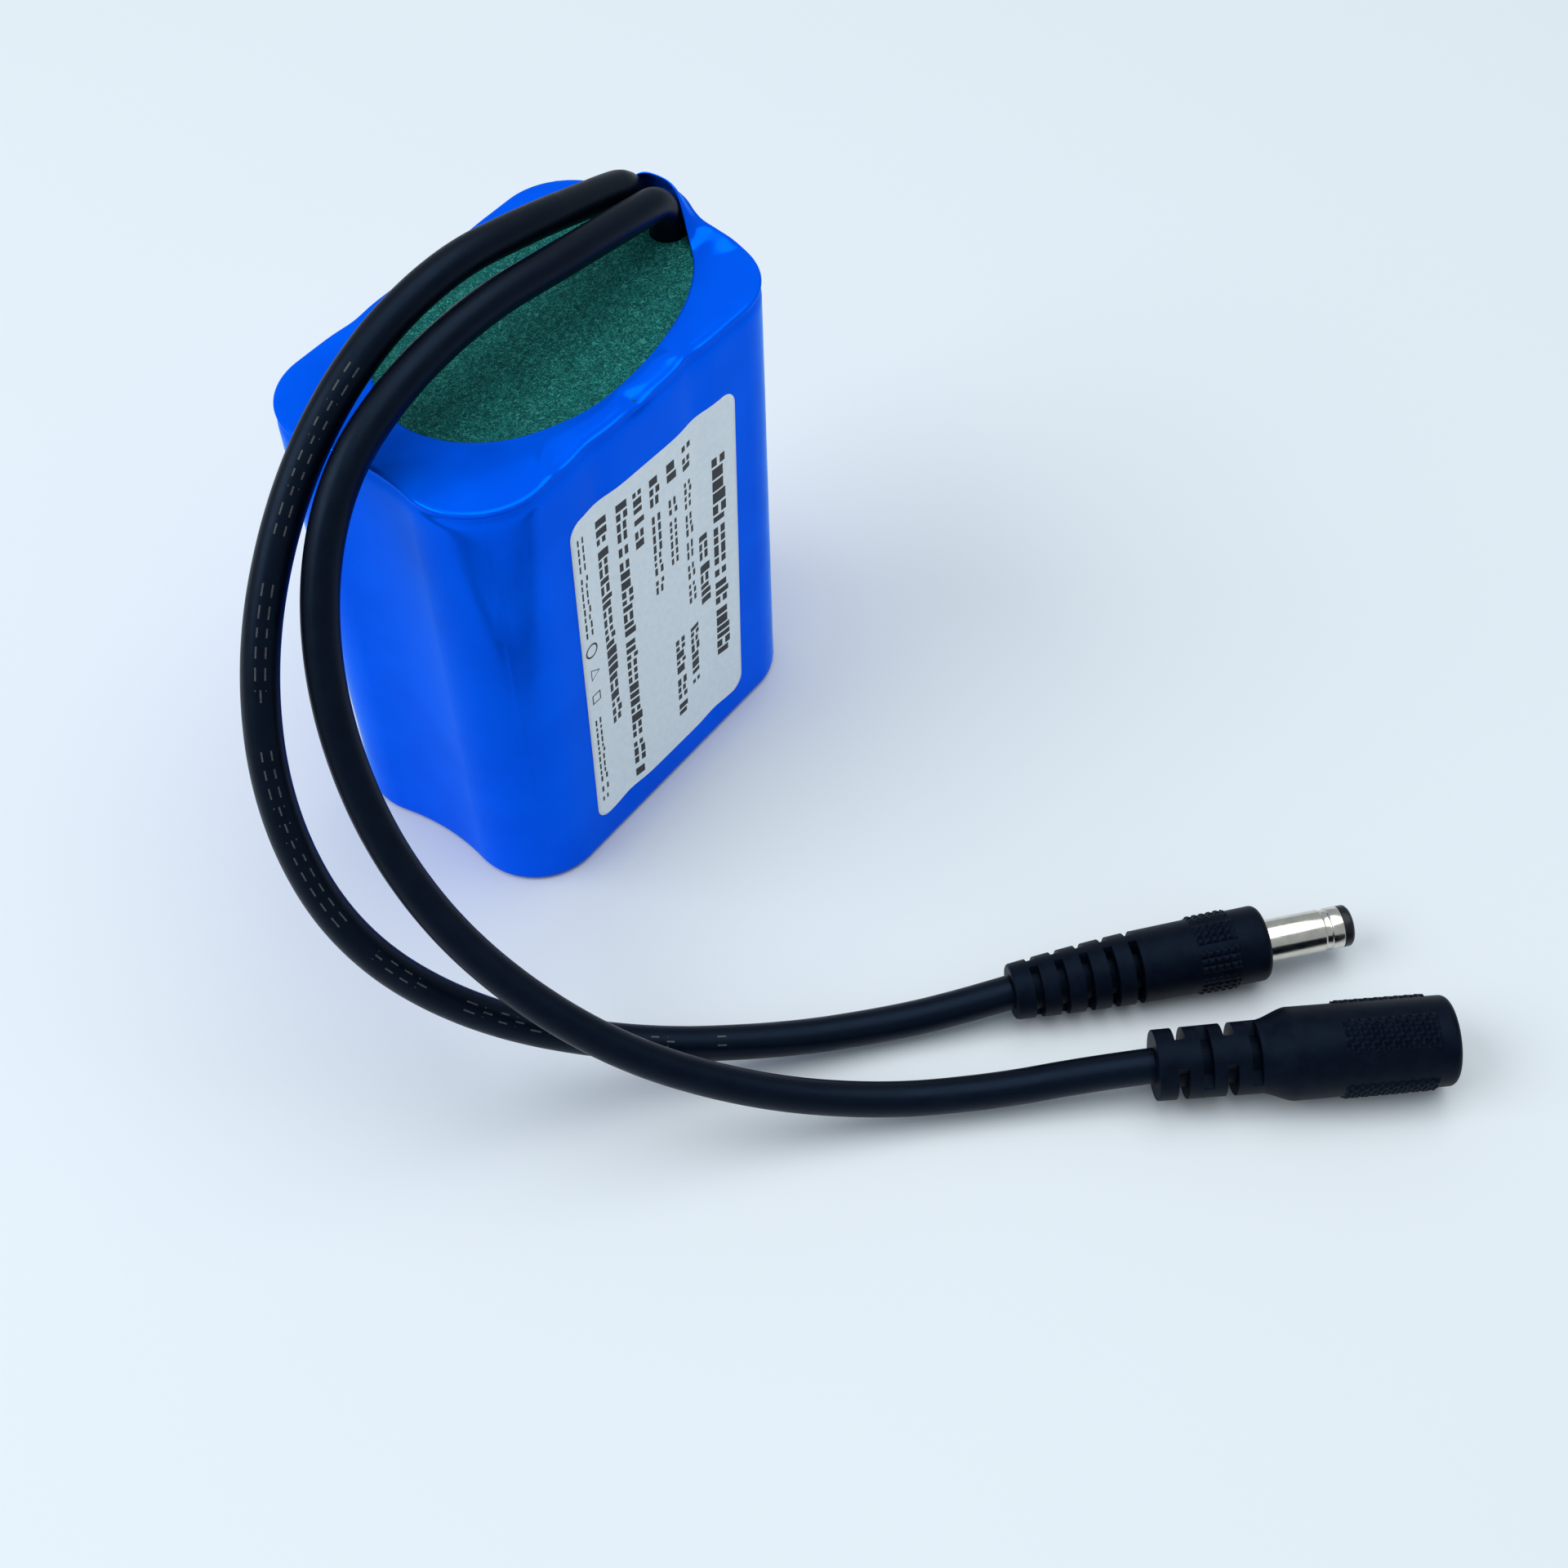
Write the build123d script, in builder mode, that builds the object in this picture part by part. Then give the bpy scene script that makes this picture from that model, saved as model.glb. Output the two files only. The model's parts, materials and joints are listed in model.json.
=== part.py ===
"""Rechargeable battery pack: six cylindrical cells in a shrink film, with a plug lead and a socket lead.

Units are millimetres. The origin is the centre of the base. +X runs along the pack's long side towards
the end where the two cords leave, -Y is the labelled face and +Z is up.
"""
from build123d import *
import os
from math import cos, pi, radians, sin, tan

os.makedirs("parts", exist_ok=True)

# ---- Driving dimensions --------------------------------------------------------------------------

pack_length = 57.2          # along X, over the film
pack_width = 37.8           # along Y, over the film
pack_height = 69.0          # along Z, base to the folded lip
film = 0.25                 # shrink film thickness
corner_radius = 9.5         # film around a corner cell
corner_x = pack_length / 2 - corner_radius
corner_y = pack_width / 2 - corner_radius
dimple_angle = 13.0         # how far the film follows each corner cell into the end valley

sleeve_radius = 9.2         # 18650 cell with its sleeve
can_radius = 9.1
can_wall = 0.25
cell_length = 65.0          # base of the can to the top of the cap
can_height = 64.4           # base of the can to the crimped lip
cell_x = (-19.0, -0.55, 17.9)
cell_y = (-9.25, 9.25)

paper = 0.3                 # barley paper
board = 0.5                 # glass-fibre end board
nickel = 0.15               # strip thickness
strip_width = 8.0

base_paper_z = film
base_board_z = base_paper_z + paper
base_strip_z = base_board_z + board
cell_z = base_strip_z + nickel
cell_top_z = cell_z + cell_length
pad_z = cell_top_z + nickel
top_paper_z = pack_height - film - paper
top_board_z = top_paper_z - board

cord_radius = 2.225         # two-core round sheath, 4.45 mm
lead_radius = 0.7           # core inside the sheath
exit_x = 25.8               # where the cords stand up out of the pack
exit_ys = (3.4, -1.6)       # plug cord, socket cord
exit_z = 68.0

board_face_x = 27.15        # component side of the protection board
board_thickness = 0.8
bms_length = 46.0
bms_width = 14.0
bms_z = 36.0                # centre height

# Routes, from the pack to the back of each moulded connector, chosen point by point.
plug_back = Vector(-6.52, -78.37, 4.56)
plug_turn = -41.7           # heading of the plug on the floor, degrees from +X
plug_roll = 44.0
jack_back = Vector(-5.78, -98.77, 5.5)
jack_turn = -49.1
jack_roll = 75.0
connector_tilt = 1.4        # each lies on its widest part, and its thinner back dips a little

plug_route = [
    (25.8, 3.4, 68.0),
    (25.8, 3.4, 71.4),
    (23.8, 3.2, 74.6),
    (20.3, 2.9, 76.1),
    (14.4, 2.4, 78.1),
    (5.6, 1.9, 81.0),
    (-8.5, 2.5, 83.5),
    (-23.0, 3.5, 79.5),
    (-37.0, 2.5, 70.5),
    (-50.0, -2.0, 58.0),
    (-58.5, -9.5, 43.5),
    (-60.5, -19.5, 29.0),
    (-54.5, -31.5, 16.5),
    (-43.0, -46.0, 8.5),
    (-29.5, -59.0, 4.4),
    (-19.0, -67.9, 3.1),
    (-12.2, -73.9, 3.8),
]
jack_route = [
    (25.8, -1.6, 68.0),
    (25.8, -1.6, 71.3),
    (23.8, -1.8, 74.3),
    (20.2, -2.3, 75.4),
    (14.2, -2.7, 76.7),
    (5.2, -3.0, 78.3),
    (-8.0, -2.0, 79.5),
    (-21.5, -1.5, 77.5),
    (-33.0, -2.0, 72.5),
    (-42.0, -5.0, 63.0),
    (-49.0, -11.5, 51.5),
    (-53.0, -21.0, 39.0),
    (-53.5, -33.5, 28.5),
    (-49.0, -48.5, 18.0),
    (-40.0, -62.0, 9.5),
    (-29.5, -74.0, 4.5),
    (-19.5, -84.5, 3.8),
    (-11.3, -92.7, 4.9),
]

# Male plug, 5.5 x 2.1. Distances run forward from the back of the moulding.
plug_length = 33.3
plug_back_radius = 3.6
plug_waist = 16.0           # the strain relief widens up to here, the grip widens only a little more
plug_waist_radius = 4.66
plug_radius = 4.9
barrel_radius = 2.75
barrel_root_radius = 2.55   # the part of the barrel that is moulded in
barrel_end = 43.6
barrel_start = 26.0
ring_end = 45.0
plug_bore_radius = 1.05
plug_slots = 5
plug_slot_pitch = 3.24
plug_slot_first = 2.95
plug_slot_width = 1.1

# Female socket, 5.5 x 2.1, inline.
jack_length = 36.9
relief_radius = 4.4
relief_end_radius = 4.55
relief_length = 13.1
jack_cone_end = 16.8
jack_cone_radius = 5.8
jack_radius = 5.65
socket_radius = 4.2
socket_start = 23.1
socket_floor = 27.1
socket_bore_radius = 2.85
pin_radius = 1.0
pin_root_radius = 1.25
pin_end = 35.7
jack_slots = 4
jack_slot_pitch = 3.0
jack_slot_first = 3.0
jack_slot_width = 1.3


# ---- Shared outlines and frames ------------------------------------------------------------------

def pack_outline(inset):
    """Plan of the pack: straight long sides, a shallow valley between the two end cells on -X."""
    bump_x = -corner_x - corner_radius * cos(radians(dimple_angle))
    bump_y = corner_y - corner_radius * sin(radians(dimple_angle))
    valley_x = bump_x + bump_y * tan(radians(dimple_angle / 2))
    side_x, side_y = pack_length / 2, pack_width / 2
    with BuildSketch() as outline:
        with BuildLine():
            Line((-corner_x, -side_y), (corner_x, -side_y))
            RadiusArc((corner_x, -side_y), (side_x, -corner_y), -corner_radius)
            Line((side_x, -corner_y), (side_x, corner_y))
            RadiusArc((side_x, corner_y), (corner_x, side_y), -corner_radius)
            Line((corner_x, side_y), (-corner_x, side_y))
            RadiusArc((-corner_x, side_y), (bump_x, bump_y), -corner_radius)
            ThreePointArc((bump_x, bump_y), (valley_x, 0), (bump_x, -bump_y))
            RadiusArc((bump_x, -bump_y), (-corner_x, -side_y), -corner_radius)
        make_face()
        if inset:
            offset(amount=-inset)
    return outline.sketch


def connector_frame(back, turn, tilt, roll):
    """Forward and upper directions of a connector that lies turned, tilted and rolled on the floor."""
    forward = Vector(cos(radians(turn)) * cos(radians(tilt)), sin(radians(turn)) * cos(radians(tilt)),
                     sin(radians(tilt)))
    left = Vector(0, 0, 1).cross(forward).normalized()
    up = forward.cross(left)
    top = left * sin(radians(roll)) + up * cos(radians(roll))
    return forward, top


plug_forward, plug_top = connector_frame(plug_back, plug_turn, connector_tilt, plug_roll)
jack_forward, jack_top = connector_frame(jack_back, jack_turn, connector_tilt, jack_roll)
plug_axis = Axis(plug_back, plug_forward)
jack_axis = Axis(jack_back, jack_forward)
plug_side = Plane(origin=plug_back, x_dir=plug_forward, z_dir=plug_forward.cross(plug_top))
jack_side = Plane(origin=jack_back, x_dir=jack_forward, z_dir=jack_forward.cross(jack_top))


def across_plug(distance):
    """Plane square to the plug, a distance forward of the back of its moulding."""
    return Plane(origin=plug_back + plug_forward * distance, x_dir=plug_top.cross(plug_forward),
                 z_dir=plug_forward)


def across_jack(distance):
    """Plane square to the socket, a distance forward of the back of its moulding."""
    return Plane(origin=jack_back + jack_forward * distance, x_dir=jack_top.cross(jack_forward),
                 z_dir=jack_forward)


# ---- Film, papers and end boards -----------------------------------------------------------------

opening_x = -1.0
opening_half_width = 15.2
opening_reach_back = 19.2
opening_reach_front = 26.0
hood_front_x = pack_length / 2
hood_back_x = 21.0
hood_base_z = pack_height - film
hood_curve = [(-13.0, hood_base_z), (-7.5, 71.6), (-3.0, 75.2), (1.0, 76.2), (5.2, 75.3), (9.2, 71.9),
              (14.0, hood_base_z)]
hood_wall = 0.3
hood_inner_base_z = hood_base_z - film
hood_inner_curve = [(-12.6, hood_inner_base_z), (-7.3, 71.2), (-2.9, 74.85), (1.0, 75.9), (5.1, 74.95),
                    (9.0, 71.5), (13.6, hood_inner_base_z)]

with BuildPart() as shrink_wrap:
    with BuildSketch(Plane.XY):
        add(pack_outline(0))
    extrude(amount=pack_height)
    with BuildSketch(Plane.XY.offset(film)):
        add(pack_outline(film))
    extrude(amount=pack_height - 2 * film, mode=Mode.SUBTRACT)
    with BuildSketch(Plane.XY.offset(pack_height - 2 * film)):
        with BuildLine():
            EllipticalCenterArc((opening_x, 0), opening_reach_front, opening_half_width, start_angle=-90,
                                arc_size=180)
            EllipticalCenterArc((opening_x, 0), opening_reach_back, opening_half_width, start_angle=90,
                                arc_size=180)
        make_face()
    extrude(amount=3 * film, mode=Mode.SUBTRACT)
    with BuildSketch(Plane.XY.offset(-film)):
        Ellipse(20.0, 12.0)
    extrude(amount=3 * film, mode=Mode.SUBTRACT)
    # the raised lip over the two cords
    with BuildSketch(Plane.YZ.offset(hood_back_x)):
        with BuildLine():
            Spline(hood_curve)
            Line(hood_curve[-1], hood_curve[0])
        make_face()
    extrude(amount=hood_front_x - hood_back_x)
    with BuildSketch(Plane.YZ.offset(hood_back_x - 1.0)):
        with BuildLine():
            Spline(hood_inner_curve)
            Line(hood_inner_curve[-1], hood_inner_curve[0])
        make_face()
    extrude(amount=hood_front_x - hood_back_x + 1.0 - hood_wall, mode=Mode.SUBTRACT)
    with BuildSketch(Plane.XZ.offset(-20)):
        with BuildLine():
            Polyline((10, pack_height), (22.0, pack_height), (24.8, 71.2), (26.2, 73.5), (26.8, 78),
                     (10, 78), close=True)
        make_face()
    extrude(amount=40, mode=Mode.SUBTRACT)
shrink_wrap.part.label = "shrink_wrap"
export_step(shrink_wrap.part, "parts/shrink_wrap.step")

label_width = 31.5
label_height = 54.0
with BuildPart() as label:
    with BuildSketch(Plane(origin=(-0.3, -pack_width / 2, 32.3), x_dir=(1, 0, 0), z_dir=(0, -1, 0))):
        RectangleRounded(label_width, label_height, 2.2, rotation=-1.6)
    extrude(amount=0.1)
label.part.label = "label"
export_step(label.part, "parts/label.step")

seat_radius = cord_radius + 0.15
notch_reach = 4.0


def cut_notch():
    """Opening for the cords in an end sheet: a round seat for each, open to the edge behind them."""
    with Locations(*[(exit_x, y) for y in exit_ys]):
        Circle(seat_radius, mode=Mode.SUBTRACT)
    with Locations((exit_x + notch_reach / 2, sum(exit_ys) / 2)):
        Rectangle(notch_reach, exit_ys[0] - exit_ys[1] + 2 * seat_radius, mode=Mode.SUBTRACT)


def end_sheet(height, thickness, name, notched):
    """One flat sheet that fills the plan of the pack inside the film."""
    with BuildPart() as sheet:
        with BuildSketch(Plane.XY.offset(height)):
            add(pack_outline(film + 0.55))
            if notched:
                cut_notch()
        extrude(amount=thickness)
    sheet.part.label = name
    export_step(sheet.part, f"parts/{name}.step")


end_sheet(base_paper_z, paper, "bottom_paper", False)
end_sheet(base_board_z, board, "bottom_board", False)
end_sheet(top_board_z, board, "top_board", True)
end_sheet(top_paper_z, paper, "top_paper", True)

channel_width = 6.0         # the leads run along the top in this channel
with BuildPart() as foam_pad:
    with BuildSketch(Plane.XY.offset(pad_z)):
        add(pack_outline(film + 0.8))
        cut_notch()
        with Locations((4, 0)):
            Rectangle(44, channel_width, mode=Mode.SUBTRACT)
    extrude(amount=top_board_z - pad_z)
foam_pad.part.label = "foam_pad"
export_step(foam_pad.part, "parts/foam_pad.step")

# ---- Cells ---------------------------------------------------------------------------------------

cap_radius = 7.0
button_radius = 4.2
crimp_radius = 7.5
groove_height = 60.8        # rolled groove under the gasket
groove_depth = 0.7


def cell_plane(x, y, upright):
    """Plane through a cell's axis whose local Y runs from the negative end to the positive end."""
    if upright:
        return Plane(origin=(x, y, cell_z), x_dir=(1, 0, 0), z_dir=(0, -1, 0))
    return Plane(origin=(x, y, cell_top_z), x_dir=(1, 0, 0), z_dir=(0, 1, 0))


cell_spots = [(x, y, column != 1) for column, x in enumerate(cell_x) for y in cell_y]
gasket_parts = []
roll_parts = []
for number, (x, y, upright) in enumerate(cell_spots, start=1):
    section = cell_plane(x, y, upright)
    axis = Axis((x, y, 0), (0, 0, 1))

    with BuildPart() as cell_can:
        with BuildSketch(section):
            with BuildLine():
                Polyline(
                    (0, 0), (can_radius - 0.6, 0), (can_radius, 0.6), (can_radius, groove_height - 0.8),
                    (can_radius - groove_depth, groove_height), (can_radius, groove_height + 0.8),
                    (can_radius, can_height - 0.4), (can_radius - 0.4, can_height),
                    (crimp_radius, can_height), (crimp_radius, can_height - can_wall),
                    (can_radius - can_wall, can_height - can_wall),
                    (can_radius - can_wall, groove_height + 0.9),
                    (can_radius - groove_depth - can_wall, groove_height),
                    (can_radius - can_wall, groove_height - 0.9), (can_radius - can_wall, 0.8),
                    (can_radius - 0.8, can_wall), (0, can_wall), close=True)
            make_face()
        revolve(axis=axis)
    cell_can.part.label = f"cell_{number}_can"
    export_step(cell_can.part, f"parts/cell_{number}_can.step")

    with BuildPart() as cell_sleeve:
        with BuildSketch(section):
            with BuildLine():
                Polyline(
                    (can_radius, 0.6), (sleeve_radius, 0.6), (sleeve_radius, can_height + 0.1),
                    (crimp_radius + 0.3, can_height + 0.1), (crimp_radius + 0.3, can_height),
                    (can_radius - 0.4, can_height), (can_radius, can_height - 0.4),
                    (can_radius, groove_height + 0.8), (can_radius, groove_height - 0.8), close=True)
            make_face()
        revolve(axis=axis)
    cell_sleeve.part.label = f"cell_{number}_sleeve"
    export_step(cell_sleeve.part, f"parts/cell_{number}_sleeve.step")

    with BuildPart() as cell_cap:
        with BuildSketch(section):
            with BuildLine():
                Polyline(
                    (0, cell_length), (button_radius, cell_length), (button_radius + 0.7, can_height - 0.9),
                    (cap_radius, can_height - 0.9), (cap_radius, can_height - 1.3),
                    (button_radius + 0.3, can_height - 1.3), (button_radius - 0.3, cell_length - 0.4),
                    (0, cell_length - 0.4), close=True)
            make_face()
        revolve(axis=axis)
    cell_cap.part.label = f"cell_{number}_cap"
    export_step(cell_cap.part, f"parts/cell_{number}_cap.step")

    with BuildPart() as gasket:
        with BuildSketch(section):
            with BuildLine():
                Polyline(
                    (cap_radius, can_height - 2.0), (can_radius - can_wall, can_height - 2.0),
                    (can_radius - can_wall, can_height - can_wall), (cap_radius, can_height - can_wall),
                    close=True)
            make_face()
        revolve(axis=axis)
    gasket_parts.append(gasket.part)

    with BuildPart() as roll:
        with BuildSketch(section):
            with Locations((4.9, 30.0)):
                Rectangle(7.6, 58.0)
        revolve(axis=axis)
    roll_parts.append(roll.part)

cell_gaskets = Compound(label="cell_gaskets", children=gasket_parts)
export_step(cell_gaskets, "parts/cell_gaskets.step")

electrode_rolls = Compound(label="electrode_rolls", children=roll_parts)
export_step(electrode_rolls, "parts/electrode_rolls.step")

void_x = (cell_x[1] + cell_x[2]) / 2
with BuildPart() as glue_beads:
    for height in (8.0, 56.0):
        with BuildSketch(Plane.XY.offset(height)):
            with Locations((void_x, 0)):
                Circle(3.4)
        extrude(amount=9.0)
glue_beads.part.label = "glue_beads"
export_step(glue_beads.part, "parts/glue_beads.step")

# ---- Nickel strips -------------------------------------------------------------------------------

strip_reach = 26.0
with BuildPart() as positive_strip:
    with BuildSketch(Plane.XY.offset(cell_top_z)):
        with Locations((cell_x[0], 0)):
            RectangleRounded(strip_width, strip_reach, 1.5)
    extrude(amount=nickel)
positive_strip.part.label = "positive_strip"
export_step(positive_strip.part, "parts/positive_strip.step")


def series_strip(first, second, height, name):
    """Two strips along X, one per row, joined by a cross strip between the two groups."""
    middle = (first + second) / 2
    with BuildPart() as strip:
        with BuildSketch(Plane.XY.offset(height)):
            with Locations(*[(middle, y) for y in cell_y]):
                RectangleRounded(strip_reach, strip_width, 1.5)
            with Locations((middle, 0)):
                Rectangle(strip_width, strip_reach - strip_width)
        extrude(amount=nickel)
    strip.part.label = name
    export_step(strip.part, f"parts/{name}.step")


series_strip(cell_x[1], cell_x[2], cell_top_z, "top_series_strip")
series_strip(cell_x[0], cell_x[1], base_strip_z, "bottom_series_strip")

tab_width = 4.0
tab_top_z = 16.0
with BuildPart() as negative_strip:
    with BuildSketch(Plane.XY.offset(base_strip_z)):
        with Locations((cell_x[2], 0)):
            RectangleRounded(strip_width, strip_reach, 1.5)
        with Locations(((cell_x[2] + board_face_x) / 2, 0)):
            Rectangle(board_face_x - cell_x[2], tab_width)
    extrude(amount=nickel)
    with BuildSketch(Plane.YZ.offset(board_face_x - nickel)):
        with Locations((0, (base_strip_z + tab_top_z) / 2)):
            Rectangle(tab_width, tab_top_z - base_strip_z)
    extrude(amount=nickel)
negative_strip.part.label = "negative_strip"
export_step(negative_strip.part, "parts/negative_strip.step")

# ---- Protection board ----------------------------------------------------------------------------

inner_face = Plane(origin=(board_face_x, 0, 0), x_dir=(0, -1, 0), z_dir=(-1, 0, 0))

with BuildPart() as bms_board:
    with BuildSketch(Plane.YZ.offset(board_face_x)):
        with Locations((0, bms_z)):
            RectangleRounded(bms_width, bms_length, 0.8)
    extrude(amount=board_thickness)
bms_board.part.label = "bms_board"
export_step(bms_board.part, "parts/bms_board.step")

with BuildPart() as bms_insulation:
    with BuildSketch(Plane.YZ.offset(board_face_x + board_thickness)):
        with Locations((0, bms_z)):
            RectangleRounded(bms_width + 1.6, bms_length + 3, 1.0)
    extrude(amount=0.2)
bms_insulation.part.label = "bms_insulation"
export_step(bms_insulation.part, "parts/bms_insulation.step")

with BuildPart() as bms_mosfets:
    with BuildSketch(inner_face):
        with Locations((0, 20.0), (0, 27.0)):
            Rectangle(3.9, 5.0)
    extrude(amount=1.5)
    chamfer(bms_mosfets.faces().sort_by(Axis.X)[:2].edges(), 0.25)
    with BuildSketch(inner_face):
        with Locations(*[(side * 2.4, height + step * 1.27) for side in (-1, 1) for height in (20.0, 27.0)
                         for step in (-1.5, -0.5, 0.5, 1.5)]):
            Rectangle(1.0, 0.45)
    extrude(amount=0.3)
bms_mosfets.part.label = "bms_mosfets"
export_step(bms_mosfets.part, "parts/bms_mosfets.step")

with BuildPart() as bms_chips:
    with BuildSketch(inner_face):
        with Locations((0, 33.0), (0, 37.0), (0, 41.0)):
            Rectangle(2.9, 1.7)
    extrude(amount=1.1)
bms_chips.part.label = "bms_chips"
export_step(bms_chips.part, "parts/bms_chips.step")

with BuildPart() as bms_passives:
    with BuildSketch(inner_face):
        with Locations(*[(side * 4.6, 20.0 + 3.0 * row) for side in (-1, 1) for row in range(9)]):
            Rectangle(0.8, 1.6)
    extrude(amount=0.5)
bms_passives.part.label = "bms_passives"
export_step(bms_passives.part, "parts/bms_passives.step")


# ---- Leads inside the pack -----------------------------------------------------------------------

def lead(points, radius, bend):
    """A round insulated lead along a route of straight runs and equal bends."""
    with BuildPart() as wire:
        with BuildLine() as run:
            FilletPolyline(*points, radius=bend)
        with BuildSketch(Plane(origin=points[0], z_dir=run.line % 0)):
            Circle(radius)
        sweep()
    return wire.part


lead_x = board_face_x - lead_radius
core_offset = 0.75          # each core sits this far from the axis of its cord
lead_end_z = 54.0


def cord_core(y):
    """One core from the stripped end of a cord down to its pad on the board."""
    return lead([(exit_x, y, exit_z), (exit_x, y, 67.2), (lead_x, y, 65.9), (lead_x, y, lead_end_z)],
                lead_radius, 1.4)


red_cores = Compound(label="red_cores",
                     children=[cord_core(y + core_offset) for y in exit_ys])
export_step(red_cores, "parts/red_cores.step")

black_cores = Compound(label="black_cores",
                       children=[cord_core(y - core_offset) for y in exit_ys])
export_step(black_cores, "parts/black_cores.step")

main_lead_z = pad_z + 0.8
main_lead_y = sum(exit_ys) / 2
positive_lead = lead([(cell_x[0] + 3.5, main_lead_y, main_lead_z), (lead_x, main_lead_y, main_lead_z),
                      (lead_x, main_lead_y, 50.0)], lead_radius, 2.0)
positive_lead.label = "positive_lead"
export_step(positive_lead, "parts/positive_lead.step")

sense_radius = 0.45
sense_z = pad_z + 0.55
sense_x = 24.6
sense_end_z = 46.5
low_void_x = (cell_x[0] + cell_x[1]) / 2
low_sense_lead = lead(
    [(low_void_x, -1.5, cell_z + 0.1), (low_void_x, -1.5, sense_z), (sense_x, -1.5, sense_z),
     (sense_x, -1.5, sense_end_z), (board_face_x - 0.1, -1.5, sense_end_z)], sense_radius, 1.2)
low_sense_lead.label = "low_sense_lead"
export_step(low_sense_lead, "parts/low_sense_lead.step")

high_sense_y = 2.15
high_sense_lead = lead(
    [(void_x, high_sense_y, sense_z), (sense_x, high_sense_y, sense_z), (sense_x, high_sense_y, sense_end_z),
     (board_face_x - 0.1, high_sense_y, sense_end_z)], sense_radius, 1.2)
high_sense_lead.label = "high_sense_lead"
export_step(high_sense_lead, "parts/high_sense_lead.step")

core_ends = [y + hand * core_offset for y in exit_ys for hand in (-1, 1)]
with BuildPart() as solder_joints:
    with BuildSketch(inner_face):
        with Locations(*[(-y, lead_end_z - 0.9) for y in core_ends], (-main_lead_y, 49.1)):
            RectangleRounded(1.4, 1.7, 0.5)
    extrude(amount=1.1)
    fillet(solder_joints.faces().group_by(Axis.X)[0].edges(), 0.4)
    with BuildSketch(Plane.XY.offset(pad_z)):
        with Locations((cell_x[0] + 2.6, main_lead_y)):
            Circle(0.9)
    extrude(amount=1.4)
solder_joints.part.label = "solder_joints"
export_step(solder_joints.part, "parts/solder_joints.step")


# ---- Cords ---------------------------------------------------------------------------------------

def bend_radii(points):
    """Largest tangent radius at each corner: 0.45 of the shorter run over the tangent of half the turn."""
    radii = []
    for before, corner, after in zip(points, points[1:], points[2:]):
        run_in = Vector(corner) - Vector(before)
        run_out = Vector(after) - Vector(corner)
        turn = run_in.get_angle(run_out)
        radii.append(0.45 * min(run_in.length, run_out.length) / tan(radians(turn / 2)))
    return radii


def cord(points, name):
    """A round sheath along its route; prints its bend radii, length and volume."""
    radii = bend_radii(points)
    with BuildPart() as tube:
        with BuildLine() as run:
            FilletPolyline(*points, radius=radii)
        with BuildSketch(Plane(origin=points[0], z_dir=run.line % 0)):
            Circle(cord_radius)
        sweep()
    length = sum(edge.length for edge in run.line.edges())
    print(name, "radii", [round(r, 1) for r in radii])
    print(name, "length", round(length, 1), "volume", round(tube.part.volume, 1),
          "section x length", round(pi * cord_radius ** 2 * length, 1))
    tube.part.label = name
    export_step(tube.part, f"parts/{name}.step")


cord(plug_route + [tuple(plug_back)], "plug_cord")
cord(jack_route + [tuple(jack_back)], "jack_cord")

# ---- Male plug -----------------------------------------------------------------------------------

core_radius = 2.75          # solid core left inside the strain relief slots
web_width = 1.5             # each slot runs round the core except for a web on either side of it
web_turn = 21.0
pad_rise = 0.2
plug_pad_start = 23.8
plug_pad_length = 5.2
plug_pad_width = 3.0
plug_rounding = 0.9

with BuildPart() as plug_moulding:
    with BuildSketch(plug_side):
        with BuildLine():
            Line((0, 0), (0, plug_back_radius - 0.3))
            RadiusArc((0, plug_back_radius - 0.3), (0.3, plug_back_radius), 0.3)
            Spline((0.3, plug_back_radius), (7.5, 4.22), (plug_waist, plug_waist_radius),
                   tangents=[(1, 0.09), (1, 0.014)])
            Line((plug_waist, plug_waist_radius), (plug_length - plug_rounding, plug_radius))
            RadiusArc((plug_length - plug_rounding, plug_radius), (plug_length, plug_radius - plug_rounding),
                      plug_rounding)
            Line((plug_length, plug_radius - plug_rounding), (plug_length, 0))
            Line((plug_length, 0), (0, 0))
        make_face()
    revolve(axis=plug_axis)
    with BuildSketch(across_plug(plug_pad_start)):
        for turn in (0, 45, 90, 135):
            Rectangle(plug_pad_width, 12, rotation=turn)
        Circle(plug_radius + pad_rise, mode=Mode.INTERSECT)
    extrude(amount=plug_pad_length)
    for slot in range(plug_slots):
        start = plug_slot_first + plug_slot_pitch * slot - plug_slot_width / 2
        with BuildSketch(across_plug(start)):
            Circle(7)
            Circle(core_radius, mode=Mode.SUBTRACT)
            Rectangle(web_width, 16, rotation=web_turn, mode=Mode.SUBTRACT)
        extrude(amount=plug_slot_width, mode=Mode.SUBTRACT)
    with BuildSketch(across_plug(barrel_start)):
        Circle(barrel_root_radius)
    extrude(amount=plug_length, mode=Mode.SUBTRACT)
plug_moulding.part.label = "plug_moulding"
export_step(plug_moulding.part, "parts/plug_moulding.step")

barrel_bore = 2.3
neck_start = 41.1
neck_width = 1.0
contact_radius = 1.5
with BuildPart() as plug_barrel:
    with BuildSketch(plug_side):
        with BuildLine():
            Polyline(
                (barrel_start, barrel_bore), (barrel_start, barrel_root_radius),
                (plug_length, barrel_root_radius), (plug_length, barrel_radius), (neck_start, barrel_radius),
                (neck_start + 0.15, barrel_radius - 0.18), (neck_start + neck_width - 0.15, barrel_radius - 0.18),
                (neck_start + neck_width, barrel_radius), (barrel_end, barrel_radius),
                (barrel_end, barrel_bore), close=True)
        make_face()
    revolve(axis=plug_axis)
plug_barrel.part.label = "plug_barrel"
export_step(plug_barrel.part, "parts/plug_barrel.step")

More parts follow.
